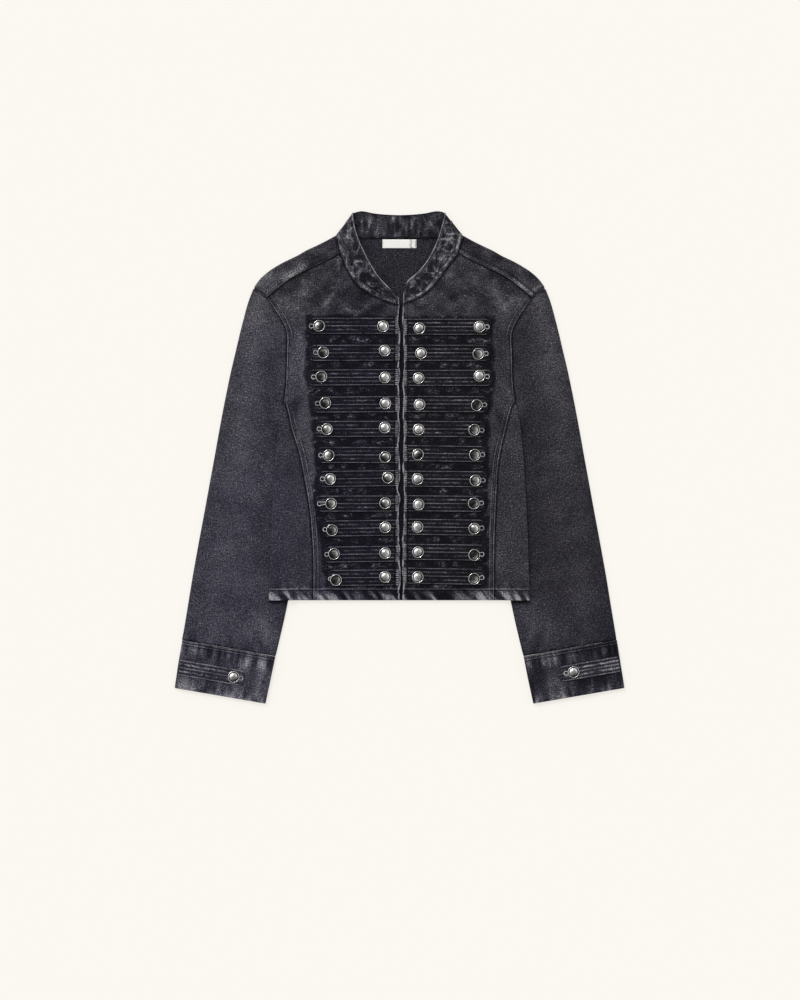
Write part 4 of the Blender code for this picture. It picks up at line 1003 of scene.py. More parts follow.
def denim(name, ground, grain):
    """Washed denim: dark warp over pale weft, salt-and-pepper where the dye has worn, paler or darker with
    the fade attribute, which carries wear and also painted shade. ground is where the unworn cloth lies
    between black (0) and fully worn (1), and grain is how strong its speckles are."""
    material, tree, shader = material_with(
        name, 0.95, Specular_IOR_Level=0.08, Sheen_Weight=0.02, Sheen_Roughness=0.6,
    )
    weave = attribute(tree, "weave", "Vector")
    pepper = noise_at(tree, weave, 0.62)
    slanted = add_node(tree, "VectorMath", {0: weave, 1: (0.9, 0.62, 0.0)}, "MULTIPLY").outputs[0]
    twill = add_node(
        tree, "TexWave", {"Vector": slanted, "Scale": 0.32, "Distortion": 0.6, "Detail": 1.0},
        wave_type="BANDS", bands_direction="DIAGONAL",
    ).outputs["Fac"]
    parts = (
        (noise_at(tree, weave, 0.36, 2.0, 0.6), 1.0 * grain), (pepper, 1.9 * grain),
        (noise_at(tree, weave, 0.7, stretch=(1.0, 0.16, 1.0)), 0.5 * grain),
        (noise_at(tree, weave, 0.7, stretch=(0.16, 1.0, 1.0)), 0.6 * grain),
        (noise_at(tree, weave, 0.03, 3.0, 0.55), 0.30), (twill, 0.05),
    )
    total = ground
    for value, amount in parts:
        total = added(tree, total, centred(tree, value), amount)
    total = added(tree, total, attribute(tree, "fade"), 0.42)
    # Fine pale crests where the cloth is crinkled.
    wave = centred(tree, noise_at(tree, weave, 0.26, 2.0, 0.55, (0.38, 1.0, 1.0)))
    slope = math_node(tree, "MULTIPLY", math_node(tree, "ABSOLUTE", wave, 0.0), 22.0)
    crest = math_node(tree, "MAXIMUM", math_node(tree, "SUBTRACT", 1.0, slope), 0.0)
    crest = math_node(tree, "MULTIPLY", crest, attribute(tree, "crinkle"))
    total = added(tree, total, crest, 0.60)
    tints = {6: ramp(tree, total, VIOLET_STOPS), 7: ramp(tree, total, NEUTRAL_STOPS)}
    colour = add_node(tree, "Mix", {"Factor": attribute(tree, "tint"), **tints}, data_type="RGBA").outputs[2]
    dress(tree, shader, colour, added(tree, added(tree, pepper, twill, 0.6), crest, 2.0), 0.4, 0.0004)
    return material


def thread_material(name, pale, dark):
    """Thread in patches of two tones, with finer flecks."""
    material, tree, shader = material_with(name, 0.7)
    place = add_node(tree, "TexCoord").outputs["Object"]
    patches, flecks = noise_at(tree, place, 90.0, 2.0), noise_at(tree, place, 700.0)
    value = added(tree, patches, centred(tree, flecks), 0.5)
    dress(tree, shader, ramp(tree, value, ((0.3, dark), (0.68, pale))))
    return material


def metal_material(name, bright, patina, roughness):
    """Antique silver by its worn attribute: bright where it is rubbed and where painted highlights and
    reflections lie, darker and rougher where the patina stays.
    """
    material, tree, shader = material_with(name, roughness, Metallic=1.0)
    spots = noise_at(tree, add_node(tree, "TexCoord").outputs["Object"], 330.0, 3.0, 0.6)
    value = added(tree, attribute(tree, "worn"), centred(tree, spots), 0.8)
    middle = [0.35 * a + 0.65 * b for a, b in zip(bright, patina)]
    stops = ((0.0, [0.2 * part for part in patina]), (0.25, patina), (0.55, middle), (1.0, bright))
    dress(tree, shader, ramp(tree, value, stops), spots, 0.25, 0.0003)
    tree.links.new(added(tree, roughness + 0.12, value, -0.16), shader.inputs["Roughness"])
    return material


def label_material():
    """Cream cotton of a fine weave, with painted shade in its fold."""
    material, tree, shader = material_with("label_cotton", 0.75)
    place = add_node(tree, "TexCoord").outputs["Object"]
    warp, weft = (noise_at(tree, place, 1500.0, stretch=way) for way in ((1.0, 0.2, 1.0), (0.2, 1.0, 1.0)))
    threads = math_node(tree, "MULTIPLY", math_node(tree, "ADD", warp, weft), 0.5)
    value = math_node(tree, "ADD", threads, attribute(tree, "fade"))
    stops = ((0.0, (0.16, 0.14, 0.11)), (0.3, (0.90, 0.89, 0.87)), (0.6, (1.0, 1.0, 0.99)))
    dress(tree, shader, ramp(tree, value, stops), threads, 0.3, 0.0002)
    return material


# Cloth details: rise and fade over plan points (out, up).


def summed(parts):
    """The rises of several details added up, and their fades."""
    return sum(part[0] for part in parts), sum(part[1] for part in parts)


def felled(points, line, seed, crisp=(1.0, 0.7)):
    """A seam's turned allowance beside a line: a raised band with two worn rows of stitching, each between
    dark troughs. The troughs and the seam's own ditch are darkened partly by dye kept in them and partly by
    painted shade. crisp is how strongly each row shows."""
    distance, reach = to_line(points, line)
    band = ease((distance - 0.3) / 1.2) * (1 - ease((distance - 8.2) / 2.2))
    rise = 0.42 * band - 0.55 * bell(distance, 0.9)
    pucker = noise(reach / 5.5, distance / 9.0, seed)
    rise += 0.24 * pucker * bell(distance - 4.5, 4.5)
    fade = (0.05 + 0.22 * pucker) * bell(distance - 5.0, 4.0) - 0.9 * bell(distance, 0.9)
    for number, row in enumerate(SEAM_ROWS):
        strength = crisp[number] * (0.8 + 0.4 * noise(reach / 16.0, 0.0, seed + 1 + number))
        across = distance - row
        rise -= 0.30 * bell(np.abs(across) - 1.3, 0.7)
        fade += strength * (0.95 * bell(across, 0.65) - 0.70 * bell(np.abs(across) - 1.6, 0.75))
    return rise, fade


def beside(points, line, seed, width=3.0, dark=0.5, gather=0.2):
    """The cloth that a seam turns under: painted shade next to it, with small gathers square to it."""
    distance, reach = to_line(points, line)
    # Painted shade beside the seam.
    fade = -dark * bell(distance, width)
    gathers = noise(reach / 6.0, distance / 30.0, seed) * np.exp(-distance / 9.0)
    return gather * gathers - 0.35 * bell(distance, 0.9), fade + 0.5 * gather * gathers


def hem(signed_out, up, seed):
    """The turned hem, twisted by its stitching so that it ropes diagonally, with its worn thread."""
    over = up - HEM_STITCH_UP
    inside = 1 - ease((over + 0.6) / 0.8)
    twist = signed_out + 0.7 * (up - HEM_UP)
    rope = noise(twist / 6.5, up / 22.0, seed) + 0.6 * noise(twist / 3.4, up / 12.0, seed + 1)
    rise = inside * 0.45 * rope - 0.45 * bell(over + 1.1, 0.9)
    low = ease(-over / 13.0)
    outer = ease((np.abs(signed_out) - 98.0) / 22.0)
    rope = np.clip(1.5 * rope, -1.0, 1.1)
    fade = inside * (-0.66 + rope * (0.30 + 0.80 * low) + 0.42 * low)
    fade += inside * (0.68 * outer + 0.12)
    line = 0.5 + 0.5 * noise(signed_out / 19.0, 0.0, seed + 2)
    # The hem's worn thread line, and under it the groove, darkened partly by dye kept in it and partly by
    # painted shade.
    fade += (0.35 + 0.7 * line + 0.4 * outer) * bell(over - 0.3, 0.8) - 0.85 * bell(over + 1.2, 0.8)
    above = np.exp(-np.maximum(over - 1.0, 0.0) / 5.0) * (over > 0.0)
    gathers = noise(signed_out / 6.0, 0.0, seed + 3)
    return rise + above * 0.25 * gathers, fade + above * (-0.10 + 0.5 * gathers)


def strap_start(side):
    """How far out the straps' inner ends lie."""
    return CENTRE_EDGE[side] + PLACKET_WIDTH + PLACKET_STEP + CLEAR


def strap_middle(values, start, out):
    """Height of a strap's middle at this distance out."""
    up, drop, end = values[:3]
    return up - drop * (out - start) / (end - start)


def near_straps(middles, up, half, soft):
    """1 within this half width of a strap's middle, and down to 0 beyond it."""
    near = np.zeros(up.shape)
    for middle in middles:
        near = np.maximum(near, 1 - ease((np.abs(up - middle) - half) / soft))
    return near


def strap_ground(side, out, up):
    """Dark, crinkled cloth between and under the straps, and the placket strip that binds their ends. The
    third of the values returned is where the cloth is finely crinkled."""
    start = strap_start(side)
    rows = STRAPS[side]
    seed, top = (40, 201.5) if side == "left" else (60, 203.0)
    ends = np.interp(-up, [-row[0] for row in rows], [row[2] for row in rows])
    edge = ends + 3.5 + 3.0 * noise(up / 11.0, 0.0, seed)
    over_top = up - top - 2.0 * noise(out / 12.0, 0.0, seed + 1)
    across = out - CENTRE_EDGE[side]
    zone = (1 - ease((out - edge + 2.0) / 4.5)) * (1 - ease(over_top / 5.0))
    zone *= ease((up - HEM_STITCH_UP) / 3.0) * ease((across - 2.0) / 4.5)
    rise, fade, crinkle = np.zeros(out.shape), -0.84 * zone, np.zeros(out.shape)
    middles = [strap_middle(row, start, out) for row in rows]
    gaps = [(a + b) / 2 for a, b in zip(middles, middles[1:])] + [middles[-1] - 16.0, middles[0] + 17.0]
    under = near_straps(middles, up, 10.5, 3.0)
    for number, gap in enumerate(gaps):
        inside = bell(up - gap, 6.0) * zone * (1 - under) * ease((out - start) / 4.0)
        wave = noise(out / 6.0, up / 4.0, seed + 3 + number)
        crest = ridged(out / 8.0 + 0.3 * wave, up / 3.4 + 0.7 * wave, seed + 20 + number) ** 1.4
        broken = ease(0.45 + 1.1 * noise(out / 9.0, up / 7.0, seed + 7 + number))
        rise += 0.9 * inside * (crest - 0.25)
        fade += 1.2 * inside * crest * broken - 0.12 * inside
        crinkle += inside * broken
    # Placket: wide at each strap, where its ladder of bar tacks is worn pale, and narrow between them.
    at_strap = near_straps(middles, up, 10.0, 4.0)
    wobble = 0.8 * noise(up / 4.6, 0.0, seed + 8)
    strip = 1 - ease((across - 2.6 - 3.6 * at_strap - wobble) / 0.9)
    rise += 0.35 * strip * noise(up / 4.2, across / 6.0, seed + 10) * (1 - at_strap)
    rise -= 0.4 * bell(across - 6.4, 0.7)
    tall = (1 - ease((up - 203.0) / 12.0)) * ease((up - HEM_UP) / 4.0)
    pale = -0.60 + 0.92 * at_strap + 0.60 * noise(up / 4.4, across / 2.6, seed + 12)
    fade += strip * pale * ease((across - 1.4) / 0.8) * (0.3 + 0.7 * tall)
    edge_line = (1.95 + 1.2 * noise(up / 3.4, 0.0, seed + 13)) * (1 - 0.5 * at_strap)
    wander = 0.6 + 1.3 * np.abs(noise(up / 6.5, 0.0, seed + 14)) * (1 - at_strap)
    fade += edge_line * bell(across - wander, 0.95) * (0.35 + 0.65 * tall)
    return rise, fade, crinkle


def outer_edge(side):
    """The line up a front's princess seam and armhole."""
    return np.vstack([smooth(PRINCESS[side])[::-1], smooth(ARMHOLE_FRONT)[::-1]])


def front_detail(side, points):
    """Rise, fade and crinkle of a front. Its topstitching is soft at the underarm."""
    out, up = points[..., 0], points[..., 1]
    rise, fade = creases(points, FRONT_CREASES[side])
    fade += FRONT_FADE[side] + STRIP_FADE[side] * ease((out - 116.0) / 14.0) * ease((205.0 - up) / 50.0)
    above = ease((up - 200.0) / 20.0)
    fade += above * (0.30 * noise(out / 15.0, up / 12.0, 45) + 0.18 * noise(out / 6.0, up / 6.0, 46))
    crisp = (
        1.0 - 0.75 * bell(up - UNDERARM_UP - 4.0, 16.0),
        0.7 - 0.62 * ease((up - 56.0) / 14.0) * (1 - ease((up - 158.0) / 20.0)),
    )
    ground = strap_ground(side, out, up)
    more_rise, more_fade = summed([
        felled(points, outer_edge(side), 1, crisp), beside(points, smooth(SHOULDER_SEAM), 3, 2.0, 0.6, 0.1),
        beside(points, smooth(COLLAR_SEAM[side]), 5, 2.5, 0.7, 0.3), hem(SIDES[side] * out, up, 7), ground,
    ])
    return rise + more_rise, fade + more_fade, ground[2]


def side_detail(side, points):
    """Rise and fade of a side front."""
    rise, fade = creases(points, SIDE_CREASES[side])
    fade += FRONT_FADE[side]
    more_rise, more_fade = summed([
        beside(points, smooth(PRINCESS[side])[::-1], 9, 1.6, 0.7, 0.12),
        hem(SIDES[side] * points[..., 0], points[..., 1], 7),
    ])
    return rise + more_rise, fade + more_fade


def beside_line(line, distance):
    """A line of plan points moved sideways, to the left of its direction, less the points that fold back."""
    ahead = np.gradient(line, axis=0)
    ahead /= np.maximum(np.linalg.norm(ahead, axis=1, keepdims=True), 1e-9)
    moved = line + np.column_stack([-ahead[:, 1], ahead[:, 0]]) * distance
    return moved[to_line(moved, line)[0] > abs(distance) - 0.1]


# The pieces


cloth = denim("washed_denim", 0.51, 0.54)
strap_cloth = denim("strap_denim_cloth", 0.14, 0.55)
tab_cloth = denim("tab_denim_cloth", 0.36, 0.55)
thread = thread_material("tonal_thread", (0.125, 0.125, 0.160), (0.016, 0.016, 0.022))
pale_thread = thread_material("worn_thread", (0.27, 0.265, 0.295), (0.045, 0.043, 0.052))
dark_thread = thread_material("dark_thread", (0.022, 0.022, 0.030), (0.006, 0.006, 0.009))
tack_thread = thread_material("bar_tack_thread", (0.46, 0.46, 0.48), (0.07, 0.07, 0.08))
hole_thread = thread_material("buttonhole_thread", (0.72, 0.71, 0.73), (0.22, 0.215, 0.235))
silver = metal_material("antique_silver_studs", (0.95, 0.94, 0.93), (0.10, 0.10, 0.10), 0.30)
cotton = label_material()


def finish(nodes):
    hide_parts(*nodes)


def stitch_piece(
    name, target, lines, material=None, pitch=STITCH_PITCH, size=1.0, below=False, seed=0,
    skip=0.0, shape=STITCH,
):
    """Stitches along plan lines, laid on the target's surface as one piece. Lines hold signed plan points,
    below lays them on the underside, and skip is the share of them that is worn away."""
    tree = BVHTree.FromPolygons(
        [vertex.co[:] for vertex in target.data.vertices], [face.vertices[:] for face in target.data.polygons]
    )
    way = 1.0 if below else -1.0
    half, side, height = shape[0] / 2 * size, shape[1] / 2 * size, shape[2] * size
    section = ((-1.0, -0.5), (1.0, -0.5), (0.62, 0.75), (-0.62, 0.75))
    ends = ((-1.0, 0.35), (0.0, 1.0), (1.0, 0.35))
    template = np.array([
        (place * half, a * side * wide, b * height * wide) for place, wide in ends for a, b in section
    ])
    quads = [
        (ring * 4 + a, ring * 4 + (a + 1) % 4, ring * 4 + 4 + (a + 1) % 4, ring * 4 + 4 + a)
        for ring in range(2) for a in range(4)
    ] + [(3, 2, 1, 0), (8, 9, 10, 11)]
    points = []
    number = 0
    for line in lines:
        reach = reach_along(line)
        count = int(reach[-1] / pitch)
        for place in (np.arange(count) + 0.5) * reach[-1] / max(count, 1):
            number += 1
            if skip and noise(place / 11.0, number * 0.013, seed) > 1 - 2 * skip:
                continue
            here, ahead = (
                np.array([np.interp(place + step, reach, line[:, axis]) for axis in (0, 1)])
                for step in (-0.4, 0.4)
            )
            centre = (here + ahead) / 2 * MM
            hit, normal, _, _ = tree.ray_cast(Vector((*centre, -way)), Vector((0.0, 0.0, way)))
            if hit is None:
                continue
            tangent = Vector((*(ahead - here), 0.0))
            tangent = (tangent - normal * tangent.dot(normal)).normalized()
            basis = np.array([tangent, normal.cross(tangent), normal])
            points.append(template @ basis + np.array(hit) / MM)
    points = np.concatenate(points)
    faces = (np.arange(len(points) // 12)[:, None, None] * 12 + np.array(quads)).reshape(-1, 4)
    add_mesh(name, points, faces, material or thread, None)


def hem_thread(start, end):
    """The hem's line of stitching between two places out."""
    return np.array([(start, HEM_STITCH_UP + 0.2), (end, HEM_STITCH_UP + 0.2)])


def placket_closing(up):
    """Share by which the fronts' edges draw together, low on the jacket."""
    return ease((-45.0 - up) / 90.0)


def fronts():
    for side, sign in SIDES.items():
        pairs = fine(front_grid(side), BODY_GRID, FRONT_COLUMNS)
        points = pairs[:, :, 0, :2].copy()
        rise, fade, crinkle = front_detail(side, points)
        fade += wash_and_shade(points * (sign, 1.0))
        closing = placket_closing(points[..., 1])
        sway = noise(points[..., 1] / 15.0, 0.0, 33 + int(sign))
        sway = PLACKET_SWAY * (1 - 0.35 * closing) * sway - 1.2 * closing
        sway *= bell(points[..., 0] - CENTRE_EDGE[side], 5.0)
        pairs[..., 0] += sway[..., None]
        weave = points * (sign, 1.0) + FRONT_WEAVE
        obj = shell(f"denim_front_{side}", relieved(pairs, rise), sign, cloth, (fade, fade * 0), weave)
        set_values(obj, "crinkle", np.concatenate([crinkle.ravel(), np.zeros(crinkle.size)]))
        finish(
            [f"front_{side}"],
        )
        lines = []
        for distance, from_up in zip(SEAM_ROWS, (98.0, 170.0)):
            row = beside_line(outer_edge(side), distance)
            lines += [row[row[:, 1] < 64.0], row[row[:, 1] > from_up]]
        lines.append(hem_thread(CENTRE_EDGE[side] + 1.0, out_at(PRINCESS[side], HEM_STITCH_UP) - 1.0))
        stitch_piece(f"stitches_front_{side}", obj, [line * (sign, 1.0) for line in lines])
        rungs = []
        count = np.arange(RUNGS)
        for row, (middle, *_) in enumerate(STRAPS[side]):
            ups = middle + RUNG_PITCH * (count - RUNGS // 2)
            ups = ups + 0.4 * noise(count * 1.3, row * 1.7, 34 + int(sign))
            ins = CENTRE_EDGE[side] + 1.1 - placket_closing(ups)
            ins = ins + 0.4 * noise(count * 0.9, row * 2.3, 37 + int(sign))
            for start, up in zip(ins, ups):
                rungs.append(np.array([(start, up), (start + RUNG[0] + 0.1, up)]) * (sign, 1.0))
        stitch_piece(f"bar_tacks_{side}", obj, rungs, tack_thread, pitch=RUNG[0], shape=RUNG)


def sides():
    for side, sign in SIDES.items():
        pairs = fine(side_grid(side), BODY_GRID, BODY_GRID)
        points = pairs[:, :, 0, :2]
        rise, fade = side_detail(side, points)
        fade += wash_and_shade(points * (sign, 1.0))
        weave = points * (sign, 1.0) + SIDE_WEAVE
        obj = shell(f"denim_side_{side}", relieved(pairs, rise), sign, cloth, (fade, fade * 0), weave)
        finish(
            [f"side_{side}"],
        )
        inner, outer = (out_at(table, HEM_STITCH_UP) for table in (PRINCESS[side], SIDE_FOLD))
        stitch_piece(f"stitches_side_{side}", obj, [hem_thread(inner + 1.0, outer - 1.5) * (sign, 1.0)])


def shoulder_lines(distance, sign):
    """Fade beside the shoulder seam: dark lines on the wearer's left, a pale band by beads on the right.
    The dark at the seam itself is partly dye kept in its ditch and partly painted shade.
    """
    if sign < 0:
        return 0.30 * bell(distance - 7.0, 3.2) - 0.55 * bell(distance, 1.2)
    fade = 0.30 * bell(distance - 4.2, 2.4) - 0.55 * bell(distance, 1.1)
    return fade - 1.3 * bell(distance - SEAM_ROWS[1], 1.1)


def back_detail(half, sign):
    """Rise and fade of one side of the back, carried over the shoulder, and the fade of its inside."""
    mirrored = half[:, :, 0, :2]
    plan = mirrored * (sign, 1.0)
    out, up = plan[..., 0], plan[..., 1]
    under_rise, under_fade = summed([
        creases(plan, BACK_CREASES), hem(out, up, 17), felled(mirrored, smooth(ARMHOLE_BACK), 19),
    ])
    near, tip = SHOULDER_FADE[sign]
    shoulder_fade = near + (tip - near) * ease((mirrored[..., 0] - 122.0) / 34.0)
    over_rise, over_fade = summed([
        felled(mirrored, smooth(SHOULDER_SEAM), 21, (0.35, 0.2)),
        felled(mirrored, np.array([ARMHOLE_FRONT[0], ARMHOLE_BACK[0]]), 23, (0.5, 0.3)),
        (0.0, shoulder_lines(to_line(mirrored, smooth(SHOULDER_SEAM))[0], sign)),
        beside(mirrored, smooth(COLLAR_SEAM_OVER_SHOULDER), 25, 2.0, 0.5, 0.2),
        (0.25 * noise(out / 9.0, up / 9.0, 27), shoulder_fade + 0.45 * noise(out / 16.0, up / 12.0, 28)),
        creases(plan, SHOULDER_CREASES),
    ])
    over = ease((half[:, :, 0, 2] - 1.4) / 1.0) * (up > YOKE_UP)
    rise = under_rise * (1 - over) + over_rise * over
    fade = under_fade * (1 - over) + over_fade * over
    # Inside: darker overall, with painted shade by the back neck's seam and behind the gap between the
    # fronts.
    behind_gap = (1 - ease((mirrored[..., 0] - 8.0) / 7.0)) * (1 - ease((up - 214.0) / 14.0))
    at_neck = bell(to_line(mirrored, smooth(BACK_NECK))[0], 2.2)
    return rise, fade, INSIDE_FADE - 0.5 * at_neck - 0.42 * behind_gap


def back_piece():
    half = back_half()
    spacings = np.where(np.arange(len(half) - 1) < len(BODY_UPS), BACK_GRID, BACK_GRID / 2)
    spacings[-2:] = SHOULDER_GRID
    half = fine(half, spacings, BACK_GRID * 0.8)
    on_centre = half[:, 0, 0, 0] < 0.01
    points, faces, fades, weaves, count = [], [], [], [], 0
    for sign in (1.0, -1.0):
        rise, fade, inside = back_detail(half, sign)
        pairs = relieved(half, rise)
        pairs[on_centre, 0, :, 0] = 0.0
        here = (pairs * (sign, 1.0, 1.0)).transpose(2, 0, 1, 3).reshape(-1, 3)
        # The faces between the two halves come out.
        corners = shell_faces(*half.shape[:2], False)
        middle = np.abs(here[:, 0]) < 1e-6
        corners = corners[~middle[corners].all(axis=1)]
        faces.append((corners if sign < 0 else corners[:, ::-1]) + count)
        points.append(here)
        fades.append(np.concatenate([fade.ravel(), inside.ravel()]))
        plan = (half[:, :, 0, :2] * (sign, 1.0)).reshape(-1, 2)
        weaves += [plan + BACK_WEAVE, plan + INSIDE_WEAVE]
        count += len(here)
    points, faces = np.vstack(points), np.vstack(faces)
    # The halves share the points of their centre line.
    middle = np.where(np.abs(points[:, 0]) < 1e-6)[0]
    twin = np.arange(count)
    twin[middle[len(middle) // 2 :]] = middle[: len(middle) // 2]
    used, corners = np.unique(twin[faces], return_inverse=True)
    obj = solid("denim_back", points[used], corners.reshape(-1, 4), cloth)
    set_cloth(obj, points[used], np.concatenate(fades)[used], np.vstack(weaves)[used])
    finish(["back"])
    seam, tip = smooth(SHOULDER_SEAM), np.array([ARMHOLE_FRONT[0], ARMHOLE_BACK[0]])
    lines, under = [], []
    for sign in (-1.0, 1.0):
        lines.append([[beside_line(line, row) * (sign, 1.0) for line in (seam, tip)] for row in SEAM_ROWS])
        under += [beside_line(smooth(ARMHOLE_BACK), -row) * (sign, 1.0) for row in SEAM_ROWS]
    (right_inner, right_outer), (left_inner, left_outer) = lines
    stitch_piece("stitches_shoulders", obj, right_inner + left_inner)
    stitch_piece("stitches_shoulder_right", obj, right_outer, dark_thread, pitch=BEAD_PITCH, shape=BEAD)
    stitch_piece("stitches_shoulder_left", obj, left_outer)
    stitch_piece("stitches_back", obj, [*under, hem_thread(-187.0, 187.0)], below=True)


def sleeves():
    grid = fine(sleeve_grid(), SLEEVE_GRID, SLEEVE_GRID, ring=True)
    points = grid[:, :, 0, :2]
    out, up = points[..., 0], points[..., 1]
    upper = ease((grid[:, :, 0, 2] - 1.2) / 1.2)
    cap = np.vstack([ARMHOLE_BACK[0], smooth(ARMHOLE_FRONT)])
    on_top = summed([creases(points, SLEEVE_CREASES), beside(points, cap, 31, 1.8, 0.55, 0.3)])
    below = summed([
        creases(points, SLEEVE_UNDER_CREASES), beside(points, smooth(ARMHOLE_BACK), 33, 1.8, 0.5, 0.3),
    ])
    for side, sign in SIDES.items():
        cuff_seed = 35 if side == "left" else 36
        cuff_seam = beside(points, np.array(CUFF_CORNERS[:2]), cuff_seed, 1.2, 1.0, 0.8)
        rise, fade = (a * upper + b * (1 - upper) + c for a, b, c in zip(on_top, below, cuff_seam))
        # Painted shade round the tube's folded edges, halfway up its height.
        fade -= 0.16 * bell(grid[:, :, 0, 2] - FOLD, 1.2)
        # Paler along the tube's outer part and on the upper arm, darker towards the inner edge.
        outermost = out_at(SLEEVE_OUTER, up)
        width = np.maximum(outermost - out_at(SLEEVE_INNER, up), 1.0)
        share = np.clip((outermost - out) / width, 0.0, 1.0)
        fade += SLEEVE_FADE[side] + 0.16 * bell(share - 0.28, 0.22) - 0.10 * ease((share - 0.55) / 0.3)
        fade += 0.12 * ease((-up - 120.0) / 120.0) * bell(share - 0.75, 0.2)
        fade += 0.10 * ease((up - 20.0) / 80.0) - 0.08 * ease((-20.0 - up) / 80.0)
        # Painted shadow that the body's hem casts on the sleeve, just below it.
        fade -= 0.60 * bell(up - HEM_UP + 1.5, 4.0) * ease((191.5 - out) / 4.0)
        fade += wash_and_shade(points * (sign, 1.0))
        cosine, sine = math.cos(SLEEVE_GRAIN), math.sin(SLEEVE_GRAIN)
        weave = np.stack([out * cosine + up * sine, up * cosine - out * sine], axis=-1)
        weave = weave * (sign, 1.0) + SLEEVE_WEAVE + UNDER_WEAVE * (1 - upper[..., None])
        pairs = relieved(grid, rise, ring=True)
        fades = (fade, fade * 0 - 0.1)
        obj = shell(f"denim_sleeve_{side}", pairs, sign, cloth, fades, weave, ring=True)
        finish([f"sleeve_{side}"])


def cuffs():
    grid = fine(cuff_grid(), CUFF_GRID, CUFF_GRID, ring=True)
    points = grid[:, :, 0, :2]
    across, down = cuff_shares(points)
    reach, end = CUFF_DEPTH * down, CUFF_DEPTH * (1 - down)
    for side, sign in SIDES.items():
        seed, shift = (70, 0.03) if side == "left" else (80, 0.0)
        rise, fade = np.zeros(across.shape), np.zeros(across.shape)
        for at_across, at_down, half_length, half_width, height, pale in CUFF_STREAKS:
            away = ((down - at_down) / half_length) ** 2 + ((across - at_across - shift) / half_width) ** 2
            rise += height * np.exp(-away)
            fade += 1.2 * pale * np.exp(-away)
        rise -= 0.3 * bell(reach - 2.8, 0.8) + 0.3 * bell(reach - 6.6, 0.8)
        # Pale worn rows by the stitching, and dark troughs beside them, darkened partly by dye kept there and
        # partly by painted shade.
        fade += 0.85 * bell(reach - 1.0, 0.9) - 0.90 * bell(reach - 2.9, 0.9) + 0.70 * bell(reach - 4.8, 0.9)
        fade -= 0.60 * bell(reach - 6.8, 1.0)
        worn = noise(across * 18.0, 0.0, seed)
        fade += (0.35 + 0.65 * worn) * np.exp(-end / 6.0) + 0.34 * noise(across * 9.0, down * 3.0, seed + 1)
        ends = 0.16 + 0.84 * (bell(down - 0.19, 0.13) + bell(down - 0.95, 0.12))
        fade += 1.05 * ends * (noise(across * 31.0, down * 1.6, seed + 3) + 0.1) + CUFF_FADE[side]
        fade += wash_and_shade(points * (sign, 1.0))
        rise += 0.25 * noise(across * 14.0, down * 2.0, seed + 2) - 0.5 * bell(end, 1.0)
        pairs = relieved(grid, rise, ring=True)
        fades = (fade - 0.05, fade * 0 - 0.2)
        weave = points * (sign, 1.0) + CUFF_WEAVE
        obj = shell(f"denim_cuff_{side}", pairs, sign, cloth, fades, weave, ring=True)
        finish([f"cuff_{side}"])
        lines = [
            np.array([cuff_place(share, row / CUFF_DEPTH) for share in (0.02, 0.98)]) * (sign, 1.0)
            for row in CUFF_ROWS
        ]
        stitch_piece(f"stitches_cuff_{side}", obj, lines, size=0.8)
        stitch_piece(f"stitches_cuff_under_{side}", obj, lines, below=True)


def collar_seam(side):
    """The line of a side's collar seam, and on over the shoulder."""
    return np.vstack([smooth(COLLAR_SEAM[side]), smooth(COLLAR_SEAM_OVER_SHOULDER)[1:]])


def collar_front(side, points):
    """Rise and fade of the collar where it stands in front: crumpled, with worn edges."""
    left = side == "left"
    crisp = 1.0 if left else 0.55
    rise, fade = creases(points, COLLAR_CREASES[side])
    distance, reach = to_line(points, collar_seam(side))
    edge, edge_reach = to_line(points, np.vstack([COLLAR_SEAM[side][0], smooth(COLLAR_EDGE[side])]))
    troughs = 0.45 * bell(distance - 1.5, 0.8) + 0.45 * bell(distance - 6.0, 0.8)
    rise += 0.4 * bell(distance - 3.6, 2.6) - crisp * troughs
    fade += crisp * (0.42 + 0.3 * noise(reach / 4.5, 0.0, 51)) * bell(distance - 3.7, 1.5)
    # Dark in the troughs by the stitching and inside the edge: partly dye kept there, partly painted shade.
    fade -= crisp * (0.75 * bell(distance - 1.2, 0.8) + 0.85 * bell(distance - 6.2, 0.8))
    fade -= 0.35 * bell(edge - 3.2, 1.2)
    rise += 0.3 * bell(edge - 1.2, 1.2) - 0.25 * bell(edge - 3.2, 0.9)
    crumple = ridged(points[..., 0] / 9.0, points[..., 1] / 8.0, 53 + left)
    small = ridged(points[..., 0] / 4.5, points[..., 1] / 5.0, 57 + left)
    rise += 0.5 * (crumple - 0.35) + 0.2 * (small - 0.35)
    fade = 1.7 * fade + 1.15 * (crumple - 0.32) + 0.65 * (small - 0.32) - 0.16
    worn_edge = (1.9 + 0.3 * noise(edge_reach / 7.0, 0.0, 52)) * bell(edge - 0.5, 1.0) - 0.6
    return rise, np.maximum(fade, worn_edge)


def collar_inside(points):
    """Rise and fade of the collar's inner side, which shows behind the neck."""
    rise, fade = creases(points, COLLAR_BACK_CREASES)
    crumple = ridged(points[..., 0] / 8.0, points[..., 1] / 14.0, 59)
    streaks = noise(points[..., 0] / 3.4, points[..., 1] / 13.0, 61)
    fade = 1.9 * fade + 0.45 * (crumple - 0.3) + 0.42 * streaks - 0.36
    folded = np.stack([np.abs(points[..., 0]), points[..., 1]], axis=-1)
    # Darker along the collar's top fold and its seam at the back neck, as painted shade.
    for table in (COLLAR_TOP, BACK_NECK):
        fade -= 0.6 * bell(to_line(folded, smooth(table))[0], 1.6)
    return rise + 0.35 * (crumple - 0.35), fade


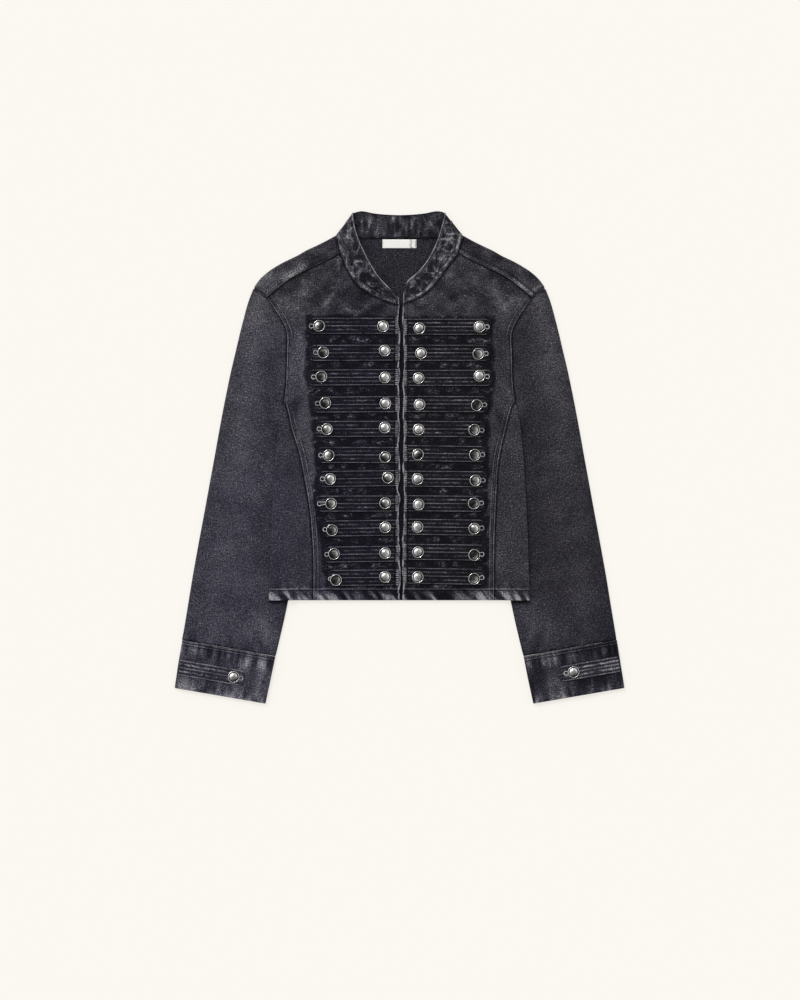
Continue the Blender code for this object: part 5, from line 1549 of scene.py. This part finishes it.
def collar_piece():
    pairs = fine(collar_grid(), COLLAR_GRID, COLLAR_GRID)
    outer, inner = pairs[:, :, 0], pairs[:, :, 1]
    points = outer[..., :2]
    in_front = ease((outer[..., 2] - 1.5) / 2.5)
    rise, fade = np.zeros(points.shape[:2]), np.zeros(points.shape[:2])
    for side, sign in SIDES.items():
        here = sign * points[..., 0] > 0
        side_rise, side_fade = collar_front(side, points * (sign, 1.0))
        rise, fade = np.where(here, side_rise, rise), np.where(here, side_fade, fade)
    rise, fade = rise * in_front, (fade + wash_and_shade(points)) * in_front
    inner_rise, inner_fade = (values * (1 - in_front) for values in collar_inside(inner[..., :2]))
    length = reach_along(outer.mean(axis=1))
    height = np.linspace(0.0, 34.0, outer.shape[1])
    weave = np.stack(np.meshgrid(length, height, indexing="ij"), axis=-1) + COLLAR_WEAVE
    pairs = relieved(pairs, rise, inner_rise=inner_rise)
    obj = shell("denim_collar", pairs, 1.0, cloth, (fade, inner_fade), weave)
    finish(["collar"])
    lines = []
    for side, sign in SIDES.items():
        lines += [beside_line(collar_seam(side), distance) * (sign, 1.0) for distance in COLLAR_ROWS]
        lines.append(beside_line(smooth(COLLAR_EDGE[side])[:-6], -COLLAR_EDGE_ROW) * (sign, 1.0))
    stitch_piece("stitches_collar", obj, lines, pale_thread)


def strap_cloth_piece(name, place, reach, half, sign, seed, base, material, wide=1.0):
    """A padded strap: tucks between stitched channels, with a rounded outer end. wide is the breadth of its
    worn lines. Returns the piece and the three lines that are stitched through to the front."""
    bends = np.sin(np.radians((15, 30, 45, 60, 72, 82)))
    straight_part = np.linspace(0.0, reach - ROUND_END, math.ceil(reach / STRAP_GRID))
    distances = np.concatenate([straight_part, reach - ROUND_END * (1 - bends)])
    rounding = np.clip((distances - reach + ROUND_END) / ROUND_END, 0.0, 1.0)
    widths = 0.42 + 0.58 * np.sqrt(1 - rounding**2)
    even = np.linspace(-1.0, 1.0, 25)
    share, distance = np.meshgrid(np.sin(even * math.pi / 2) * 0.35 + even * 0.65, distances)
    plan_across = share * half * widths[:, None]
    lines = OUTER_CHANNEL / STRAP_HALF * np.array([-1.0, -0.5, 0.0, 0.5, 1.0])
    full = 1 - bell(np.abs(share[..., None] - lines).min(axis=-1), 0.085)
    pucker = noise(distance / 3.4, share * 5.0, seed)
    swell = 0.75 + 0.25 * noise(distance / 16.0, share * 2.0, seed + 1)
    rise = STRAP_THICK + TUCK_RISE * full * swell + 0.16 * pucker * full
    rise -= 0.75 * ease((np.abs(share) - 0.90) / 0.10)
    rise -= 0.5 * (1 - ease(np.minimum(1.0, (reach - distance) / 2.2)))
    worn = noise(distance / 18.0, share * 1.4, seed + 2)
    dashes = noise(distance / 4.2, share * 9.0, seed + 3)
    glow = np.zeros(share.shape)
    for number, line in enumerate(lines):
        drift = noise(distance / 21.0, 0.7 * number, seed + 4)
        if number % 2:
            strength, breadth = 0.75 + 0.75 * dashes + 0.5 * drift, 0.070
        else:
            strength, breadth = 0.95 + 0.25 * worn + 0.45 * drift, 0.042
        glow += np.maximum(0.0, strength) * bell(share - line, breadth * wide)
    glow *= 0.45 + 0.55 * ease((reach - distance) / 14.0)
    fade = 1.45 * glow + 0.12 * worn + 0.10 * dashes * full - 0.3 * ease((np.abs(share) - 0.94) / 0.06)
    weave = np.stack([plan_across, distance], axis=-1) + STRAP_WEAVE + NEXT_STRAP * seed
    pairs = slab(place(distance, plan_across), base + rise, base)
    obj = shell(name, pairs, sign, material, (fade, fade * 0), weave)
    sewn = (distances > 0.6) & (distances < reach - 5.0)
    return obj, [place(distances[sewn], line * half * widths[sewn]) * (sign, 1.0) for line in lines[::2]]


def turned(profile, centre, sides=28):
    """Points, faces and wear of a profile of (radius, height, worn) turned about a vertical axis, and closed
    below."""
    x, y, z = centre
    turns = 2 * math.pi * np.arange(sides) / sides
    rings = [
        np.column_stack([x + r * np.cos(turns), y + r * np.sin(turns), np.full(sides, z + h)])
        for r, h, _ in profile
    ]
    points = np.vstack([*rings, [(x, y, z + profile[-1][1] + 0.02)], [centre]])
    top, bottom = len(points) - 2, len(points) - 1
    faces = []
    for ring in range(len(profile) - 1):
        for a in range(sides):
            b = (a + 1) % sides
            faces.append((ring * sides + a, ring * sides + b, (ring + 1) * sides + b, (ring + 1) * sides + a))
    last = (len(profile) - 1) * sides
    for a in range(0, sides, 2):
        b, c = (a + 1) % sides, (a + 2) % sides
        faces += [(last + a, last + b, last + c, top), (c, b, a, bottom)]
    worn = np.concatenate([np.repeat([w for _, _, w in profile], sides), [profile[-1][2], 0.0]])
    return points, np.array(faces), worn


# A stud's profile of (radius, height, worn): a rolled rim, a dark groove and a shallow dome.
STUD_PROFILE = (
    (7.65, 0.0, 0.4), (8.15, 0.25, 0.8), (8.35, 0.7, 1.3), (8.25, 1.2, 1.4), (7.95, 1.6, 1.5),
    (7.5, 1.5, 1.2), (7.2, 0.9, -0.2), (6.85, 0.6, -0.6), (6.45, 0.8, -0.6), (6.2, 1.5, 0.0),
    (5.75, 2.2, 0.4), (5.05, 2.75, 0.5), (4.0, 3.25, 0.5), (2.85, 3.55, 0.5), (1.4, 3.75, 0.5),
)
# By row from the top: how bright the painted reflection of the inner and of the outer stud is, and the
# way that the outer one's painted highlight faces, in degrees from +X.
STUD_SHINES = {
    "right": (
        (0.90, 0.34, 170.0), (0.97, 0.18, 10.0), (0.92, 0.16, 0.0), (0.90, 0.18, 20.0), (0.95, 0.62, 10.0),
        (0.34, 0.60, 170.0), (0.52, 0.66, 20.0), (0.50, 0.40, 0.0), (0.78, 0.16, 0.0), (0.85, 0.26, 20.0),
        (0.80, 0.12, -20.0),
    ),
    "left": (
        (0.78, 0.92, 140.0), (0.90, 0.40, 0.0), (1.00, 0.96, 130.0), (0.95, 0.06, -30.0), (0.92, 0.34, -10.0),
        (0.26, 0.30, -20.0), (0.90, 0.44, 0.0), (0.94, 0.10, -30.0), (0.83, 0.58, 20.0), (0.82, 0.08, -40.0),
        (0.80, 0.30, -60.0),
    ),
}


def stud_piece(name, studs, nodes):
    """Studs as one mesh. studs: (x, y, z of the base, brightness of its painted reflection, the way that its
    painted highlight faces).
    """
    points, faces, worn, count = [], [], [], 0
    for x, y, z, bright, facing in studs:
        here, corners, rubbed = turned(STUD_PROFILE, (x, y, z))
        away = here[:, :2] - (x, y)
        turn = math.radians(facing)
        lit = away @ (math.cos(turn), math.sin(turn)) / DOME_RADIUS
        dome = np.hypot(*away.T) < DOME_RADIUS
        points.append(here)
        faces.append(corners + count)
        # Painted reflection and highlight: each dome as bright as its row gives and brighter on the side that
        # it faces, its rim a little brighter on that side.
        worn.append(np.where(dome, rubbed + bright - 0.5 + 0.60 * lit, rubbed + 0.12 * lit))
        count += len(here)
    obj = add_mesh(name, np.vstack(points), np.vstack(faces), silver, None)
    set_values(obj, "worn", np.concatenate(worn))
    finish(nodes)


def buttonhole_piece(node, obj, sign, eye, way, legs=5.0):
    """A keyhole of thread: a loop round the eye and two legs towards the stud. way is the direction out."""
    turns = np.radians(np.linspace(-125.0, 125.0, 12))
    ahead = np.array(way) / np.hypot(*way)
    square = np.array([-ahead[1], ahead[0]])
    loop = [
        np.array(eye) + ahead * math.cos(turn) * EYE[0] + square * math.sin(turn) * EYE[1] for turn in turns
    ]
    ends = [np.array(eye) - ahead * legs + square * LEGS_APART * side for side in (-1.0, 1.0)]
    line = np.array([ends[0], *loop, ends[1]]) * (sign, 1.0)
    stitch_piece(f"buttonhole_{node}", obj, [line], hole_thread, pitch=1.0, size=1.3)


def straps():
    base = FLAT + CLEAR
    top = base + STRAP_THICK + TUCK_RISE
    for side, sign in SIDES.items():
        start = strap_start(side)
        inner_studs, outer_studs, names = [], [], []
        for row, values in enumerate(STRAPS[side], start=1):
            up, drop, outer_end, outer_out, outer_up, inner_out, inner_up = values
            reach = outer_end - start
            node = f"strap_{side}_{row:02d}"
            names.append(node)

            def place(distance, across, up=up, slope=drop / reach):
                return np.stack([start + distance, up - slope * distance + across], axis=-1)

            seed = 100 + 10 * row + (200 if side == "left" else 0)
            obj, rows = strap_cloth_piece(
                f"denim_{node}", place, reach, STRAP_HALF, sign, seed, base, strap_cloth
            )
            finish([node])
            stitch_piece(
                f"stitches_{node}", obj, rows, pale_thread, pitch=3.0, seed=seed, skip=0.10,
            )
            room = outer_end - outer_out
            gap = room - TIP_TO_EYE if room > LONG_END else min(HOLE_FROM_STUD, room - SHORT_TIP_TO_EYE)
            lean = float(noise(row * 1.37, 0.5, 320 + int(sign)))
            eye = (outer_out + gap, outer_up * 0.6 + (up - drop) * 0.4 + lean)
            buttonhole_piece(node, obj, sign, eye, (1.0, 0.35 * lean), max(5.0, gap - 6.0))
            # Each stud's painted reflection, and the way that its painted highlight faces: the inner ones'
            # face the middle.
            inner_shine, outer_shine, facing = STUD_SHINES[side][row - 1]
            inner_facing, outer_facing = 90.0 + sign * 45.0 + 35.0 * lean, facing + 20.0 * lean
            inner_studs.append((sign * inner_out, inner_up, top - STUD_SUNK, inner_shine, inner_facing))
            outer_studs.append((sign * outer_out, outer_up, top + CLEAR, outer_shine, outer_facing))
        stud_piece(f"inner_studs_{side}", inner_studs, names)
        stud_piece(f"outer_studs_{side}", outer_studs, [f"stud_{side}_{row:02d}" for row in range(1, 12)])


def tabs():
    base = CUFF_HEIGHT + CLEAR
    for side, sign in SIDES.items():
        tip_across, down, stud_from_tip = TABS[side]
        start, tip = cuff_place(TAB_START, down), cuff_place(tip_across, down)
        reach = np.linalg.norm(tip - start)
        ahead = (tip - start) / reach
        square = np.array([ahead[1], -ahead[0]])

        def place(distance, across):
            return start + distance[..., None] * ahead + across[..., None] * square

        node = f"tab_{side}"
        obj, rows = strap_cloth_piece(
            f"denim_{node}", place, reach, TAB_HALF, sign, 500 + int(sign), base, tab_cloth, 1.6
        )
        finish([node])
        stitch_piece(f"stitches_{node}", obj, rows, pale_thread, seed=510)
        stud = start + ahead * (reach - stud_from_tip)
        buttonhole_piece(node, obj, sign, stud + ahead * 11.0, ahead)
        # 0.7 and 110 degrees: the stud's painted reflection and the way that its painted highlight faces.
        cuff_stud = (sign * stud[0], stud[1], base + STRAP_THICK + TUCK_RISE + CLEAR, 0.7, 110.0)
        stud_piece(f"cuff_stud_{side}", [cuff_stud], [f"tab_stud_{side}"])


def label_piece():
    """The bare neck label, its right end turned under in a soft fold, which shows as a slight curl and
    painted shade.
    """
    base = DENIM + CLEAR
    outs = np.linspace(-LABEL_HALF_WIDTH, LABEL_HALF_WIDTH, 70)
    up, out = np.meshgrid(np.linspace(*LABEL_UP, 20), outs, indexing="ij")
    curl = 0.25 * bell(out - 20.5, 1.6) - 0.35 * bell(out - 23.0, 0.8) + 0.12 * noise(out / 9.0, up / 6.0, 91)
    edge = np.minimum(LABEL_HALF_WIDTH - np.abs(out), np.minimum(up - LABEL_UP[0], LABEL_UP[1] - up))
    top = base + LABEL_THICK * 0.8 + curl - 0.3 * np.exp(-edge / 0.6)
    plan = np.dstack([out, up])
    # Painted shade in the fold of the label's right end.
    fold = -0.38 * bell(out - 17.0, 2.4) - 0.5 * bell(out - 23.6, 0.6)
    obj = shell("label_patch", slab(plan, top, base), 1.0, cotton, (fold, out * 0), plan)
    finish(["label"])
    ends = [np.array([(end, LABEL_UP[0] + 1.0), (end, LABEL_UP[1] - 1.0)]) for end in (-23.4, 23.4)]
    stitch_piece("stitches_label", obj, ends, pale_thread, pitch=2.2, size=0.6)


def world_and_lights():
    """A soft studio: dim overhead, brighter towards the horizon, brightest from the upper left."""
    scene = bpy.context.scene
    world = bpy.data.worlds.new("soft_studio")
    world.use_nodes = True
    tree = world.node_tree
    background = tree.nodes["Background"]
    background.inputs["Color"].default_value = (1.0, 0.99, 0.975, 1.0)
    way = add_node(tree, "TexCoord").outputs["Generated"]
    height = add_node(tree, "SeparateXYZ", {0: way}).outputs["Z"]
    low = math_node(tree, "POWER", math_node(tree, "SUBTRACT", 1.0, height), 2.0)
    strength = added(tree, WORLD_OVERHEAD, low, WORLD_HORIZON)
    for toward, amount in SOFTBOXES:
        toward = Vector(toward).normalized()
        facing = add_node(tree, "VectorMath", {0: way, 1: tuple(toward)}, "DOT_PRODUCT").outputs["Value"]
        lobe = math_node(tree, "POWER", math_node(tree, "MAXIMUM", facing, 0.0), 8.0)
        strength = added(tree, strength, lobe, amount)
    tree.links.new(strength, background.inputs["Strength"])
    scene.world = world
    light = bpy.data.lights.new("key_light", "SUN")
    light.energy = KEY_STRENGTH
    light.angle = math.radians(KEY_SPREAD)
    lamp = bpy.data.objects.new("key_light", light)
    lamp.rotation_euler = Vector(KEY_FROM).to_track_quat("Z", "Y").to_euler()
    scene.collection.objects.link(lamp)
    scene.view_settings.view_transform = "Standard"


def floor():
    corners = [(x * FLOOR_HALF, y * FLOOR_HALF, -FLOOR_DROP) for x, y in ((-1, -1), (1, -1), (1, 1), (-1, 1))]
    material, _, shader = material_with("cream_backdrop", 0.9, Specular_IOR_Level=0.0)
    shader.inputs["Base Color"].default_value = (*(FLOOR_LIT * value for value in CREAM), 1.0)
    shader.inputs["Emission Color"].default_value = (*CREAM, 1.0)
    shader.inputs["Emission Strength"].default_value = FLOOR_GLOW
    mesh = bpy.data.meshes.new("floor")
    mesh.from_pydata([np.array(corner) * MM for corner in corners], [], [(0, 1, 2, 3)])
    mesh.materials.append(material)
    obj = bpy.data.objects.new("floor", mesh)
    bpy.context.scene.collection.objects.link(obj)


def camera():
    data = bpy.data.cameras.new("camera")
    data.lens, data.sensor_width = LENS, SENSOR
    data.clip_end = 50.0
    obj = bpy.data.objects.new("camera", data)
    height = PIXEL * PHOTO_HEIGHT * MM * LENS / SENSOR
    obj.location = (VIEW_CENTRE[0] * MM, VIEW_CENTRE[1] * MM, height)
    bpy.context.scene.collection.objects.link(obj)
    bpy.context.scene.camera = obj


floor()
back_piece()
sleeves()
cuffs()
fronts()
sides()
collar_piece()
straps()
tabs()
label_piece()
world_and_lights()
camera()
